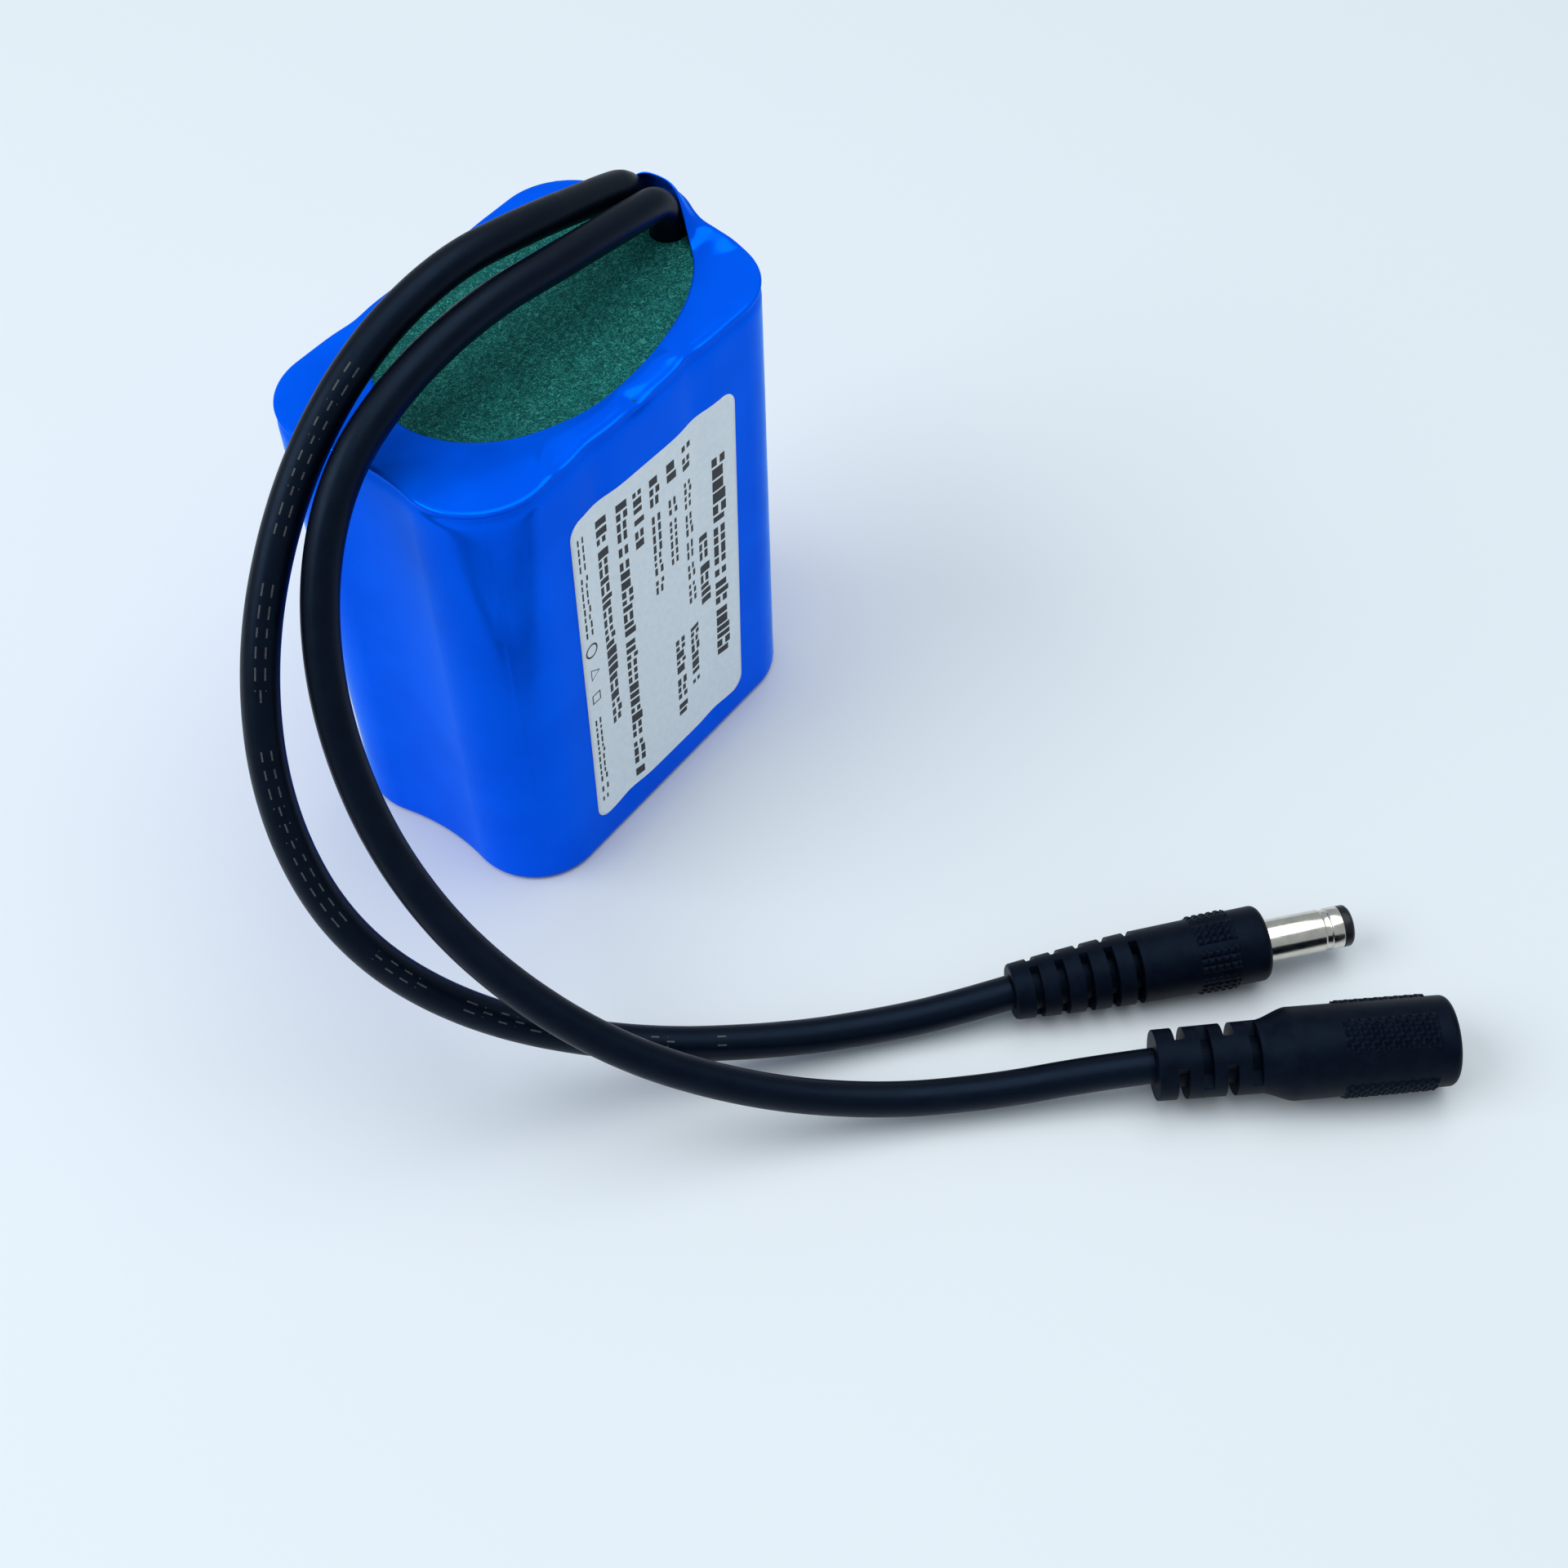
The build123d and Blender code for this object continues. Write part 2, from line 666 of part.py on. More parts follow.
insulator_start = 30.0
with BuildPart() as plug_insulator:
    with BuildSketch(plug_side):
        with BuildLine():
            Polyline(
                (insulator_start, contact_radius), (insulator_start, barrel_bore), (barrel_end, barrel_bore),
                (barrel_end, barrel_radius - 0.05), (ring_end - 0.35, barrel_radius - 0.05),
                (ring_end, barrel_radius - 0.4), (ring_end, 1.5), (ring_end - 0.35, 1.25),
                (barrel_end + 0.25, 1.25), (barrel_end + 0.25, contact_radius), close=True)
        make_face()
    revolve(axis=plug_axis)
plug_insulator.part.label = "plug_insulator"
export_step(plug_insulator.part, "parts/plug_insulator.step")

contact_floor = 34.6
with BuildPart() as plug_inner_contact:
    with BuildSketch(plug_side):
        with BuildLine():
            Polyline(
                (insulator_start, 0), (insulator_start, contact_radius), (barrel_end + 0.25, contact_radius),
                (barrel_end + 0.25, plug_bore_radius), (contact_floor, plug_bore_radius), (contact_floor, 0),
                close=True)
        make_face()
    revolve(axis=plug_axis)
plug_inner_contact.part.label = "plug_inner_contact"
export_step(plug_inner_contact.part, "parts/plug_inner_contact.step")

# ---- Female socket -------------------------------------------------------------------------------

jack_pad_radius = 5.98
jack_pad_start = 22.7
jack_pad_length = 11.6
jack_pad_width = 4.5
jack_core_radius = 2.9
jack_slot_reach = 8.2
jack_rounding = 0.9

with BuildPart() as jack_moulding:
    with BuildSketch(jack_side):
        with BuildLine():
            Line((0, 0), (0, relief_radius))
            Line((0, relief_radius), (relief_length, relief_end_radius))
            Spline((relief_length, relief_end_radius), (jack_cone_end, jack_cone_radius),
                   tangents=[(1, 0.35), (1, 0.15)])
            Line((jack_cone_end, jack_cone_radius), (jack_length - jack_rounding, jack_radius))
            RadiusArc((jack_length - jack_rounding, jack_radius), (jack_length, jack_radius - jack_rounding),
                      jack_rounding)
            Line((jack_length, jack_radius - jack_rounding), (jack_length, 0))
            Line((jack_length, 0), (0, 0))
        make_face()
    revolve(axis=jack_axis)
    with BuildSketch(across_jack(jack_pad_start)):
        Rectangle(jack_pad_width, 14)
        Rectangle(14, jack_pad_width)
        Circle(jack_pad_radius, mode=Mode.INTERSECT)
    extrude(amount=jack_pad_length)
    for slot in range(jack_slots):
        start = jack_slot_first + jack_slot_pitch * slot - jack_slot_width / 2
        with BuildSketch(across_jack(start)):
            if slot % 2:
                Rectangle(14, jack_slot_reach)
            else:
                Rectangle(jack_slot_reach, 14)
            Circle(jack_core_radius, mode=Mode.SUBTRACT)
        extrude(amount=jack_slot_width, mode=Mode.SUBTRACT)
    with BuildSketch(across_jack(socket_start)):
        Circle(socket_radius)
    extrude(amount=jack_length, mode=Mode.SUBTRACT)
jack_moulding.part.label = "jack_moulding"
export_step(jack_moulding.part, "parts/jack_moulding.step")

leaf_width = 1.6
leaf_thickness = 0.2
leaf_root = 26.6
leaf_root_height = 3.15     # inner face of the leaf at its root, from the socket's axis
leaf_nose_height = 2.55
leaf_slot_start = 26.2
leaf_slot_end = 35.4
leaf_slot_height = 3.95
leaf_slot_width = 2.3
tag_start = 23.4
tag_height = leaf_root_height + leaf_thickness / 2

with BuildPart() as jack_socket:
    with BuildSketch(across_jack(socket_start)):
        Circle(socket_radius)
    extrude(amount=jack_length - socket_start)
    with BuildSketch(across_jack(socket_floor)):
        Circle(socket_bore_radius)
    extrude(amount=jack_length, mode=Mode.SUBTRACT)
    with BuildSketch(across_jack(socket_start)):
        Circle(pin_root_radius)
    extrude(amount=socket_floor, mode=Mode.SUBTRACT)
    with BuildSketch(across_jack(leaf_slot_start)):
        with Locations((0, leaf_slot_height / 2 + 1.0)):
            Rectangle(leaf_slot_width, leaf_slot_height - 2.0)
    extrude(amount=leaf_slot_end - leaf_slot_start, mode=Mode.SUBTRACT)
    with BuildSketch(across_jack(socket_start)):
        with Locations((0, tag_height)):
            Rectangle(leaf_width, leaf_thickness)
    extrude(amount=leaf_slot_start - socket_start, mode=Mode.SUBTRACT)
jack_socket.part.label = "jack_socket"
export_step(jack_socket.part, "parts/jack_socket.step")

with BuildPart() as jack_centre_pin:
    with BuildSketch(jack_side):
        with BuildLine():
            Polyline((pin_end, 0), (socket_start, 0), (socket_start, pin_root_radius),
                     (socket_floor, pin_root_radius), (socket_floor, pin_radius), (pin_end - 0.6, pin_radius))
            RadiusArc((pin_end - 0.6, pin_radius), (pin_end, pin_radius - 0.6), 0.6)
            Line((pin_end, pin_radius - 0.6), (pin_end, 0))
        make_face()
    revolve(axis=jack_axis)
jack_centre_pin.part.label = "jack_centre_pin"
export_step(jack_centre_pin.part, "parts/jack_centre_pin.step")

with BuildPart() as jack_sleeve_tag:
    with BuildSketch(across_jack(tag_start)):
        with Locations((0, tag_height)):
            Rectangle(leaf_width, leaf_thickness)
    extrude(amount=leaf_slot_start - tag_start)
jack_sleeve_tag.part.label = "jack_sleeve_tag"
export_step(jack_sleeve_tag.part, "parts/jack_sleeve_tag.step")

leaf_inner = [(leaf_root, leaf_root_height), (32.7, leaf_nose_height), (33.6, leaf_nose_height), (34.9, 3.05)]
leaf_outer = [(distance, height + leaf_thickness) for distance, height in reversed(leaf_inner)]
with BuildPart() as jack_leaf_contact:
    with BuildSketch(jack_side):
        with BuildLine():
            Polyline(*leaf_inner, *leaf_outer, close=True)
        make_face()
    extrude(amount=leaf_width / 2, both=True)
jack_leaf_contact.part.label = "jack_leaf_contact"
export_step(jack_leaf_contact.part, "parts/jack_leaf_contact.step")
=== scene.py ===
"""Battery pack: the visual model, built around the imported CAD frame.

Lengths are in millimetres in the row frame and turn into metres where a mesh or a curve is made. The pack
stands on z = 0, +X is the end where the cords leave, -Y is the labelled face.
"""
import bpy
import json
import random
from math import atan2, ceil, cos, exp, floor, hypot, pi, radians, sin, sqrt
from mathutils import Matrix, Vector, noise


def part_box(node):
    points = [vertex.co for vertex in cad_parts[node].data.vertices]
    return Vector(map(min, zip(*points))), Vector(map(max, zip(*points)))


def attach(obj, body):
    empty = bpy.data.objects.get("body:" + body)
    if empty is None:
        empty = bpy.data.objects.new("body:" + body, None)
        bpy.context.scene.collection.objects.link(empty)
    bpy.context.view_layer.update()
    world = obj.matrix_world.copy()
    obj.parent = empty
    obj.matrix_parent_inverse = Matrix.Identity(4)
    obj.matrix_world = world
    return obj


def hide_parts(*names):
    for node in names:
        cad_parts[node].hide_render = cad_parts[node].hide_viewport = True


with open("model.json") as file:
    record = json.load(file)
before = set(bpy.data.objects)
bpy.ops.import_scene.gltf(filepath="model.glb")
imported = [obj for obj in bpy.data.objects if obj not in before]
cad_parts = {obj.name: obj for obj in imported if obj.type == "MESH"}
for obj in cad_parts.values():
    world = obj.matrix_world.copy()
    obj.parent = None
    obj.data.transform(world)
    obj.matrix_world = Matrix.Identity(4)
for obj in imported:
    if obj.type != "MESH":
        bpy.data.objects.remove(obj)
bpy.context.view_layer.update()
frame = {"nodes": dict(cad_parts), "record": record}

MM = 0.001

# ---- Driving dimensions --------------------------------------------------------------------------

wrap_low, wrap_high = (Vector(corner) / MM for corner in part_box("shrink_wrap"))
paper_high = Vector(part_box("top_paper")[1]) / MM
FILM = 0.25
HALF_X = (wrap_high.x - wrap_low.x) / 2
HALF_Y = (wrap_high.y - wrap_low.y) / 2
TOP = paper_high.z + FILM                # outer side of the folded lip
CORNER = 9.5                             # corner radius of the film
VALLEY = radians(13.0)                   # how far each corner cell's curve runs into the end valley
CORE_X = HALF_X - CORNER
CORE_Y = HALF_Y - CORNER

CORD_RADIUS = 2.225
PLUG_BACK = Vector((-6.52, -78.37, 4.56))
PLUG_TURN = -41.7
PLUG_ROLL = 44.0
JACK_BACK = Vector((-5.78, -98.77, 5.5))
JACK_TURN = -49.1
JACK_ROLL = 75.0
CONNECTOR_TILT = 1.4

# Each route is the same list of points as the cord's solid follows.
PLUG_ROUTE = [
    (25.8, 3.4, 68.0),
    (25.8, 3.4, 71.4),
    (23.8, 3.2, 74.6),
    (20.3, 2.9, 76.1),
    (14.4, 2.4, 78.1),
    (5.6, 1.9, 81.0),
    (-8.5, 2.5, 83.5),
    (-23.0, 3.5, 79.5),
    (-37.0, 2.5, 70.5),
    (-50.0, -2.0, 58.0),
    (-58.5, -9.5, 43.5),
    (-60.5, -19.5, 29.0),
    (-54.5, -31.5, 16.5),
    (-43.0, -46.0, 8.5),
    (-29.5, -59.0, 4.4),
    (-19.0, -67.9, 3.1),
    (-12.2, -73.9, 3.8),
    (-6.52, -78.37, 4.56),
]
JACK_ROUTE = [
    (25.8, -1.6, 68.0),
    (25.8, -1.6, 71.3),
    (23.8, -1.8, 74.3),
    (20.2, -2.3, 75.4),
    (14.2, -2.7, 76.7),
    (5.2, -3.0, 78.3),
    (-8.0, -2.0, 79.5),
    (-21.5, -1.5, 77.5),
    (-33.0, -2.0, 72.5),
    (-42.0, -5.0, 63.0),
    (-49.0, -11.5, 51.5),
    (-53.0, -21.0, 39.0),
    (-53.5, -33.5, 28.5),
    (-49.0, -48.5, 18.0),
    (-40.0, -62.0, 9.5),
    (-29.5, -74.0, 4.5),
    (-19.5, -84.5, 3.8),
    (-11.3, -92.7, 4.9),
    (-5.78, -98.77, 5.5),
]


# ---- Small helpers -------------------------------------------------------------------------------

def smooth(value):
    """0 below 0, 1 above 1, and a soft step between."""
    value = min(1.0, max(0.0, value))
    return value * value * (3 - 2 * value)


def bell(value, width):
    """1 at 0, falling softly to nothing a couple of widths away."""
    return exp(-(value / width) ** 2)


def mix(a, b, share):
    return a + (b - a) * share


def mesh_piece(name, points, faces, material, shade_smooth=True):
    """A mesh from millimetre points, riding on the pack."""
    mesh = bpy.data.meshes.new(name)
    mesh.from_pydata([Vector(p) * MM for p in points], [], faces)
    mesh.polygons.foreach_set("use_smooth", [shade_smooth] * len(faces))
    mesh.materials.append(material)
    mesh.update()
    piece = bpy.data.objects.new(name, mesh)
    bpy.context.scene.collection.objects.link(piece)
    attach(piece, "pack")
    return piece


def ring_faces(count, rings, first=0):
    """Quads between successive closed rings of points."""
    faces = []
    for ring in range(rings - 1):
        low, high = first + ring * count, first + (ring + 1) * count
        for k in range(count):
            after = (k + 1) % count
            faces.append((low + k, low + after, high + after, high + k))
    return faces


def connector_frame(turn, roll):
    """Forward and upper directions of a connector that lies turned, tilted and rolled on the floor."""
    turn, tilt, roll = radians(turn), radians(CONNECTOR_TILT), radians(roll)
    forward = Vector((cos(turn) * cos(tilt), sin(turn) * cos(tilt), sin(tilt)))
    left = Vector((0, 0, 1)).cross(forward).normalized()
    top = left * sin(roll) + forward.cross(left) * cos(roll)
    return forward, top


# ---- Materials -----------------------------------------------------------------------------------

def plain(name, color, roughness, **sockets):
    """A Principled material with its constants on the shader's own sockets."""
    material = bpy.data.materials.new(name)
    material.use_nodes = True
    shader = material.node_tree.nodes["Principled BSDF"]
    shader.inputs["Base Color"].default_value = (*color, 1)
    shader.inputs["Roughness"].default_value = roughness
    for socket, value in sockets.items():
        shader.inputs[socket.replace("_", " ")].default_value = value
    return material


def texture(material, size, detail=3.0, stretch=(1, 1, 1)):
    """A noise pattern in object space whose features are about size millimetres; returns its node."""
    tree = material.node_tree
    place = tree.nodes.new("ShaderNodeTexCoord")
    mapping = tree.nodes.new("ShaderNodeMapping")
    mapping.inputs["Scale"].default_value = stretch
    pattern = tree.nodes.new("ShaderNodeTexNoise")
    pattern.inputs["Scale"].default_value = 1 / (size * MM)
    pattern.inputs["Detail"].default_value = detail
    tree.links.new(place.outputs["Object"], mapping.inputs["Vector"])
    tree.links.new(mapping.outputs["Vector"], pattern.inputs["Vector"])
    return pattern


def vary_color(material, pattern, colors, low=0.35, high=0.65):
    """The base colour runs through the colours as the pattern goes from low to high."""
    tree = material.node_tree
    ramp = tree.nodes.new("ShaderNodeValToRGB")
    elements = ramp.color_ramp.elements
    while len(elements) < len(colors):
        elements.new(0.5)
    for k, color in enumerate(colors):
        elements[k].position = mix(low, high, k / (len(colors) - 1))
        elements[k].color = (*color, 1)
    tree.links.new(pattern.outputs["Fac"], ramp.inputs["Fac"])
    tree.links.new(ramp.outputs["Color"], tree.nodes["Principled BSDF"].inputs["Base Color"])
    return ramp


def vary_roughness(material, pattern, low, high):
    tree = material.node_tree
    spread = tree.nodes.new("ShaderNodeMapRange")
    spread.inputs["From Min"].default_value = 0.3
    spread.inputs["From Max"].default_value = 0.7
    spread.inputs["To Min"].default_value = low
    spread.inputs["To Max"].default_value = high
    tree.links.new(pattern.outputs["Fac"], spread.inputs["Value"])
    tree.links.new(spread.outputs["Result"], tree.nodes["Principled BSDF"].inputs["Roughness"])


def rough_up(material, patterns):
    """Bumps the surface by (pattern, depth in millimetres) pairs, one after the other."""
    tree = material.node_tree
    before = None
    for pattern, depth in patterns:
        bump = tree.nodes.new("ShaderNodeBump")
        bump.inputs["Strength"].default_value = 1.0
        bump.inputs["Distance"].default_value = depth * MM
        tree.links.new(pattern.outputs["Fac"], bump.inputs["Height"])
        if before:
            tree.links.new(before.outputs["Normal"], bump.inputs["Normal"])
        before = bump
    tree.links.new(before.outputs["Normal"], tree.nodes["Principled BSDF"].inputs["Normal"])


def film_material():
    """Blue heat-shrink film: the reflections are blue too, with faint draw lines and an uneven gloss."""
    material = plain("blue_film", (0.0, 0.11, 0.95), 0.2, Metallic=0.42, IOR=1.08,
                     Specular_Tint=(0.0, 0.75, 1.0, 1))
    clouds = texture(material, 14.0, 2.0)
    vary_color(material, clouds, [(0.0, 0.1, 0.9), (0.0, 0.12, 1.0)])
    vary_roughness(material, texture(material, 5.0, 3.0), 0.15, 0.24)
    draw_lines = texture(material, 1.1, 2.0, stretch=(1, 1, 0.06))
    rough_up(material, [(draw_lines, 0.006), (texture(material, 3.2, 2.0), 0.02)])
    return material


def barley_material():
    """Green barley paper: felted fibres, mottled light and dark, with no gloss."""
    material = plain("green_barley_paper", (0.01, 0.11, 0.09), 0.85, Specular_IOR_Level=0.12)
    fibres = texture(material, 0.42, 5.0)
    fibres.inputs["Roughness"].default_value = 0.62
    fibres.inputs["Distortion"].default_value = 1.6
    ramp = vary_color(material, fibres, [(0.0, 0.05, 0.048), (0.002, 0.095, 0.088), (0.006, 0.15, 0.135),
                                         (0.05, 0.29, 0.24)], 0.4, 0.62)
    patches = texture(material, 3.0, 2.0)
    shade = material.node_tree.nodes.new("ShaderNodeMix")
    shade.data_type = "RGBA"
    shade.blend_type = "MULTIPLY"
    shade.inputs["Factor"].default_value = 0.45
    tree = material.node_tree
    tree.links.new(ramp.outputs["Color"], shade.inputs["A"])
    tree.links.new(patches.outputs["Fac"], shade.inputs["B"])
    tree.links.new(shade.outputs["Result"], tree.nodes["Principled BSDF"].inputs["Base Color"])
    rough_up(material, [(fibres, 0.05)])
    return material


def label_material():
    material = plain("white_label", (0.83, 0.86, 0.89), 0.42, Specular_IOR_Level=0.4)
    grain = texture(material, 0.9, 4.0)
    vary_color(material, grain, [(0.78, 0.86, 0.92), (0.84, 0.91, 0.96)])
    rough_up(material, [(grain, 0.006), (texture(material, 9.0, 2.0), 0.04)])
    return material


def sheath_material():
    """Smooth black cord sheath: satin, with faint draw lines and scuffs."""
    material = plain("black_sheath", (0.001, 0.002, 0.005), 0.38, Specular_IOR_Level=0.2,
                     Specular_Tint=(0.35, 0.6, 1.0, 1))
    scuffs = texture(material, 2.4, 5.0)
    vary_roughness(material, scuffs, 0.36, 0.46)
    vary_color(material, scuffs, [(0.0005, 0.0015, 0.005), (0.001, 0.002, 0.006)])
    rough_up(material, [(texture(material, 0.35, 3.0), 0.008), (texture(material, 4.0, 2.0), 0.03)])
    return material


def moulding_material():
    """Fine matt texture of a moulded connector."""
    material = plain("moulded_black", (0.001, 0.003, 0.008), 0.48, Specular_IOR_Level=0.1,
                     Specular_Tint=(0.4, 0.65, 1.0, 1))
    grain = texture(material, 0.12, 3.0)
    vary_color(material, texture(material, 1.8, 4.0), [(0.001, 0.002, 0.006), (0.002, 0.004, 0.01)])
    vary_roughness(material, grain, 0.42, 0.55)
    rough_up(material, [(grain, 0.012), (texture(material, 1.6, 2.0), 0.012)])
    return material


def metal_material(name, color, roughness, lines=0.25):
    """Plated or rolled metal with fine lines and small changes of gloss."""
    material = plain(name, color, roughness, Metallic=1.0)
    dull = tuple(channel * 0.86 for channel in color)
    tarnish = texture(material, 1.4, 5.0)
    vary_color(material, tarnish, [dull, color])
    vary_roughness(material, tarnish, roughness * 0.75, roughness * 1.35)
    rough_up(material, [(texture(material, lines, 3.0, stretch=(1, 1, 0.15)), 0.003)])
    return material


def speckled(name, light, dark, roughness, size, depth, **sockets):
    """A two-tone material with grain of that size and bump of that depth, in millimetres."""
    material = plain(name, light, roughness, **sockets)
    grain = texture(material, size, 4.0)
    vary_color(material, grain, [dark, light])
    vary_roughness(material, grain, roughness * 0.85, min(1.0, roughness * 1.15))
    rough_up(material, [(grain, depth)])
    return material


film_blue = film_material()
barley = barley_material()
label_white = label_material()
label_ink = speckled("label_ink", (0.022, 0.022, 0.026), (0.012, 0.012, 0.015), 0.55, 0.3, 0.002)
cord_ink = speckled("cord_ink", (0.05, 0.055, 0.06), (0.025, 0.027, 0.03), 0.5, 0.3, 0.002)
sheath = sheath_material()
moulded = moulding_material()
socket_plastic = speckled("socket_black", (0.006, 0.008, 0.013), (0.003, 0.004, 0.008), 0.35, 0.5, 0.004,
                          Specular_IOR_Level=0.3)
nickel_plate = metal_material("nickel_plate", (0.74, 0.70, 0.62), 0.16)
can_steel = metal_material("can_steel", (0.58, 0.58, 0.59), 0.3)
strip_metal = metal_material("strip_nickel", (0.66, 0.65, 0.62), 0.26)
solder_metal = metal_material("solder", (0.62, 0.63, 0.66), 0.28, 0.6)
foil_metal = metal_material("electrode_foil", (0.3, 0.3, 0.32), 0.45, 0.12)
sleeve_film = speckled("cell_sleeve", (0.03, 0.24, 0.28), (0.025, 0.2, 0.24), 0.3, 2.0, 0.01)
gasket_white = speckled("gasket_plastic", (0.75, 0.75, 0.72), (0.68, 0.68, 0.65), 0.5, 0.8, 0.005)
laminate = speckled("fibre_board", (0.5, 0.52, 0.3), (0.38, 0.42, 0.22), 0.4, 0.35, 0.01)
foam = speckled("grey_foam", (0.2, 0.2, 0.21), (0.09, 0.09, 0.1), 0.95, 0.4, 0.12)
glue = speckled("hot_glue", (0.74, 0.71, 0.6), (0.66, 0.63, 0.52), 0.3, 3.0, 0.06, Subsurface_Weight=0.3,
                Subsurface_Scale=0.002)
solder_mask = speckled("circuit_board", (0.01, 0.14, 0.05), (0.005, 0.09, 0.03), 0.3, 0.7, 0.01)
fish_paper = speckled("fish_paper", (0.27, 0.26, 0.22), (0.2, 0.19, 0.16), 0.8, 0.4, 0.02)
chip_black = speckled("chip_plastic", (0.025, 0.025, 0.028), (0.015, 0.015, 0.018), 0.55, 0.15, 0.006)
chip_ceramic = speckled("passive_ceramic", (0.36, 0.28, 0.19), (0.27, 0.2, 0.13), 0.5, 0.3, 0.005)
red_lead = speckled("red_insulation", (0.5, 0.012, 0.012), (0.4, 0.008, 0.008), 0.35, 1.2, 0.01)
black_lead = speckled("black_insulation", (0.02, 0.02, 0.022), (0.012, 0.012, 0.013), 0.35, 1.2, 0.01)
white_lead = speckled("sense_insulation", (0.7, 0.7, 0.64), (0.6, 0.6, 0.55), 0.35, 1.2, 0.01)


# ---- Camera --------------------------------------------------------------------------------------

CAMERA_PLACE = (-142.485, -148.716, 238.542)
CAMERA_HEADING = 37.95                   # degrees from +X towards +Y
CAMERA_PITCH = -51.62
CAMERA_ROLL = -1.647
CAMERA_LENS = 49.88                      # on a 36 mm sensor


def make_camera():
    lens = bpy.data.cameras.new("camera")
    lens.lens = CAMERA_LENS
    lens.sensor_width = 36.0
    lens.clip_start = 0.01
    camera = bpy.data.objects.new("camera", lens)
    bpy.context.scene.collection.objects.link(camera)
    turn = Matrix.Rotation(radians(CAMERA_HEADING - 90), 4, "Z")
    lean = Matrix.Rotation(radians(90 + CAMERA_PITCH), 4, "X")
    roll = Matrix.Rotation(radians(CAMERA_ROLL), 4, "Z")
    camera.matrix_world = Matrix.Translation(Vector(CAMERA_PLACE) * MM) @ turn @ lean @ roll
    bpy.context.scene.camera = camera


make_camera()


# ---- Cords ---------------------------------------------------------------------------------------

plug_forward, plug_top = connector_frame(PLUG_TURN, PLUG_ROLL)
jack_forward, jack_top = connector_frame(JACK_TURN, JACK_ROLL)


def cord_curve(name, points):
    """A NURBS cord whose control points are the route's points."""
    curve = bpy.data.curves.new(name, "CURVE")
    curve.dimensions = "3D"
    spline = curve.splines.new("NURBS")
    spline.points.add(len(points) - 1)
    for control, point in zip(spline.points, points):
        control.co = (*(Vector(point) * MM), 1)
    spline.order_u = 3
    spline.use_endpoint_u = True
    spline.resolution_u = 16
    curve.bevel_depth = CORD_RADIUS * MM
    curve.bevel_resolution = 9
    curve.materials.append(sheath)
    piece = bpy.data.objects.new(name, curve)
    bpy.context.scene.collection.objects.link(piece)
    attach(piece, "pack")
    return piece


def centreline(cord_piece):
    """Points of a cord's own spline, in millimetres, read from the curve with no bevel."""
    bare = cord_piece.copy()
    bare.data = cord_piece.data.copy()
    bare.data.bevel_depth = 0
    mesh = bpy.data.meshes.new_from_object(bare)
    points = [vertex.co / MM for vertex in mesh.vertices]
    bpy.data.meshes.remove(mesh)
    line = bare.data
    bpy.data.objects.remove(bare)
    bpy.data.curves.remove(line)
    return points


plug_cord = cord_curve("plug_cord_sheath", PLUG_ROUTE)
jack_cord = cord_curve("jack_cord_sheath", JACK_ROUTE)
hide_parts("plug_cord")
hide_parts("jack_cord")


# ---- Shrink film ---------------------------------------------------------------------------------

FILM_STEP = 0.25                         # spacing of the film's points round the pack
CELL_GAPS = (-9.8, 8.7)                  # where two neighbouring cells meet under the film
FOLD_ANGLES = (radians(228.0), radians(48.0))   # the two edges that the tube was stored flat on
PLAN_BEND = CORE_Y - CORNER * sin(VALLEY)
VALLEY_RADIUS = PLAN_BEND / sin(VALLEY)
OPENING_X = -1.0                         # centre of the egg-shaped opening
OPENING_BACK = 19.2
OPENING_FRONT = 28.0
OPENING_HALF = 15.2
HOOD_Y = 0.4                             # the hood that the cords leave under: its middle,
HOOD_WIDTH = 5.2                         # half its width,
HOOD_RISE = 6.5                          # its height above the lip,
HOOD_START = 8.0                         # and the x where it begins to rise
HOOD_RUN = 10.0
GAP_DEPTH = 0.42                         # hollow of the film between two cells
GAP_WIDTH = 2.6
BOARD_EDGES = (-7.6, 7.6)                # edges of the board's wrapping, which show through the film
BOARD_RIDGE = 0.12


def straight(x, y, heading):
    """Place on a straight side: distance -> x, y and the outward direction."""
    def place(distance):
        return x + distance * cos(heading), y + distance * sin(heading), heading - pi / 2
    return place


def arc(x, y, radius, first):
    """Place on an arc that starts facing outward along first; a negative radius is a hollow."""
    def place(distance):
        outward = first + distance / radius
        return x + radius * cos(outward), y + radius * sin(outward), outward
    return place


def plan_runs():
    """The pack's plan, counter-clockwise from the +X side, as (length, place) pairs."""
    hollow_x = -CORE_X - (CORNER + VALLEY_RADIUS) * cos(VALLEY)
    quarter = CORNER * pi / 2
    wide = CORNER * (pi / 2 + VALLEY)
    return [
        (2 * CORE_Y, straight(HALF_X, -CORE_Y, pi / 2)),
        (quarter, arc(CORE_X, CORE_Y, CORNER, 0)),
        (2 * CORE_X, straight(CORE_X, HALF_Y, pi)),
        (wide, arc(-CORE_X, CORE_Y, CORNER, pi / 2)),
        (2 * VALLEY * VALLEY_RADIUS, arc(hollow_x, 0, -VALLEY_RADIUS, pi + VALLEY)),
        (wide, arc(-CORE_X, -CORE_Y, CORNER, pi - VALLEY)),
        (2 * CORE_X, straight(-CORE_X, -HALF_Y, 0)),
        (quarter, arc(CORE_X, -CORE_Y, CORNER, 3 * pi / 2)),
    ]


def plan_points():
    """Evenly spaced (x, y, outward) round the plan."""
    runs = plan_runs()
    total = sum(length for length, place in runs)
    count = round(total / FILM_STEP)
    points = []
    for k in range(count):
        distance = total * k / count
        for length, place in runs:
            if distance < length:
                break
            distance -= length
        points.append(place(distance))
    return points


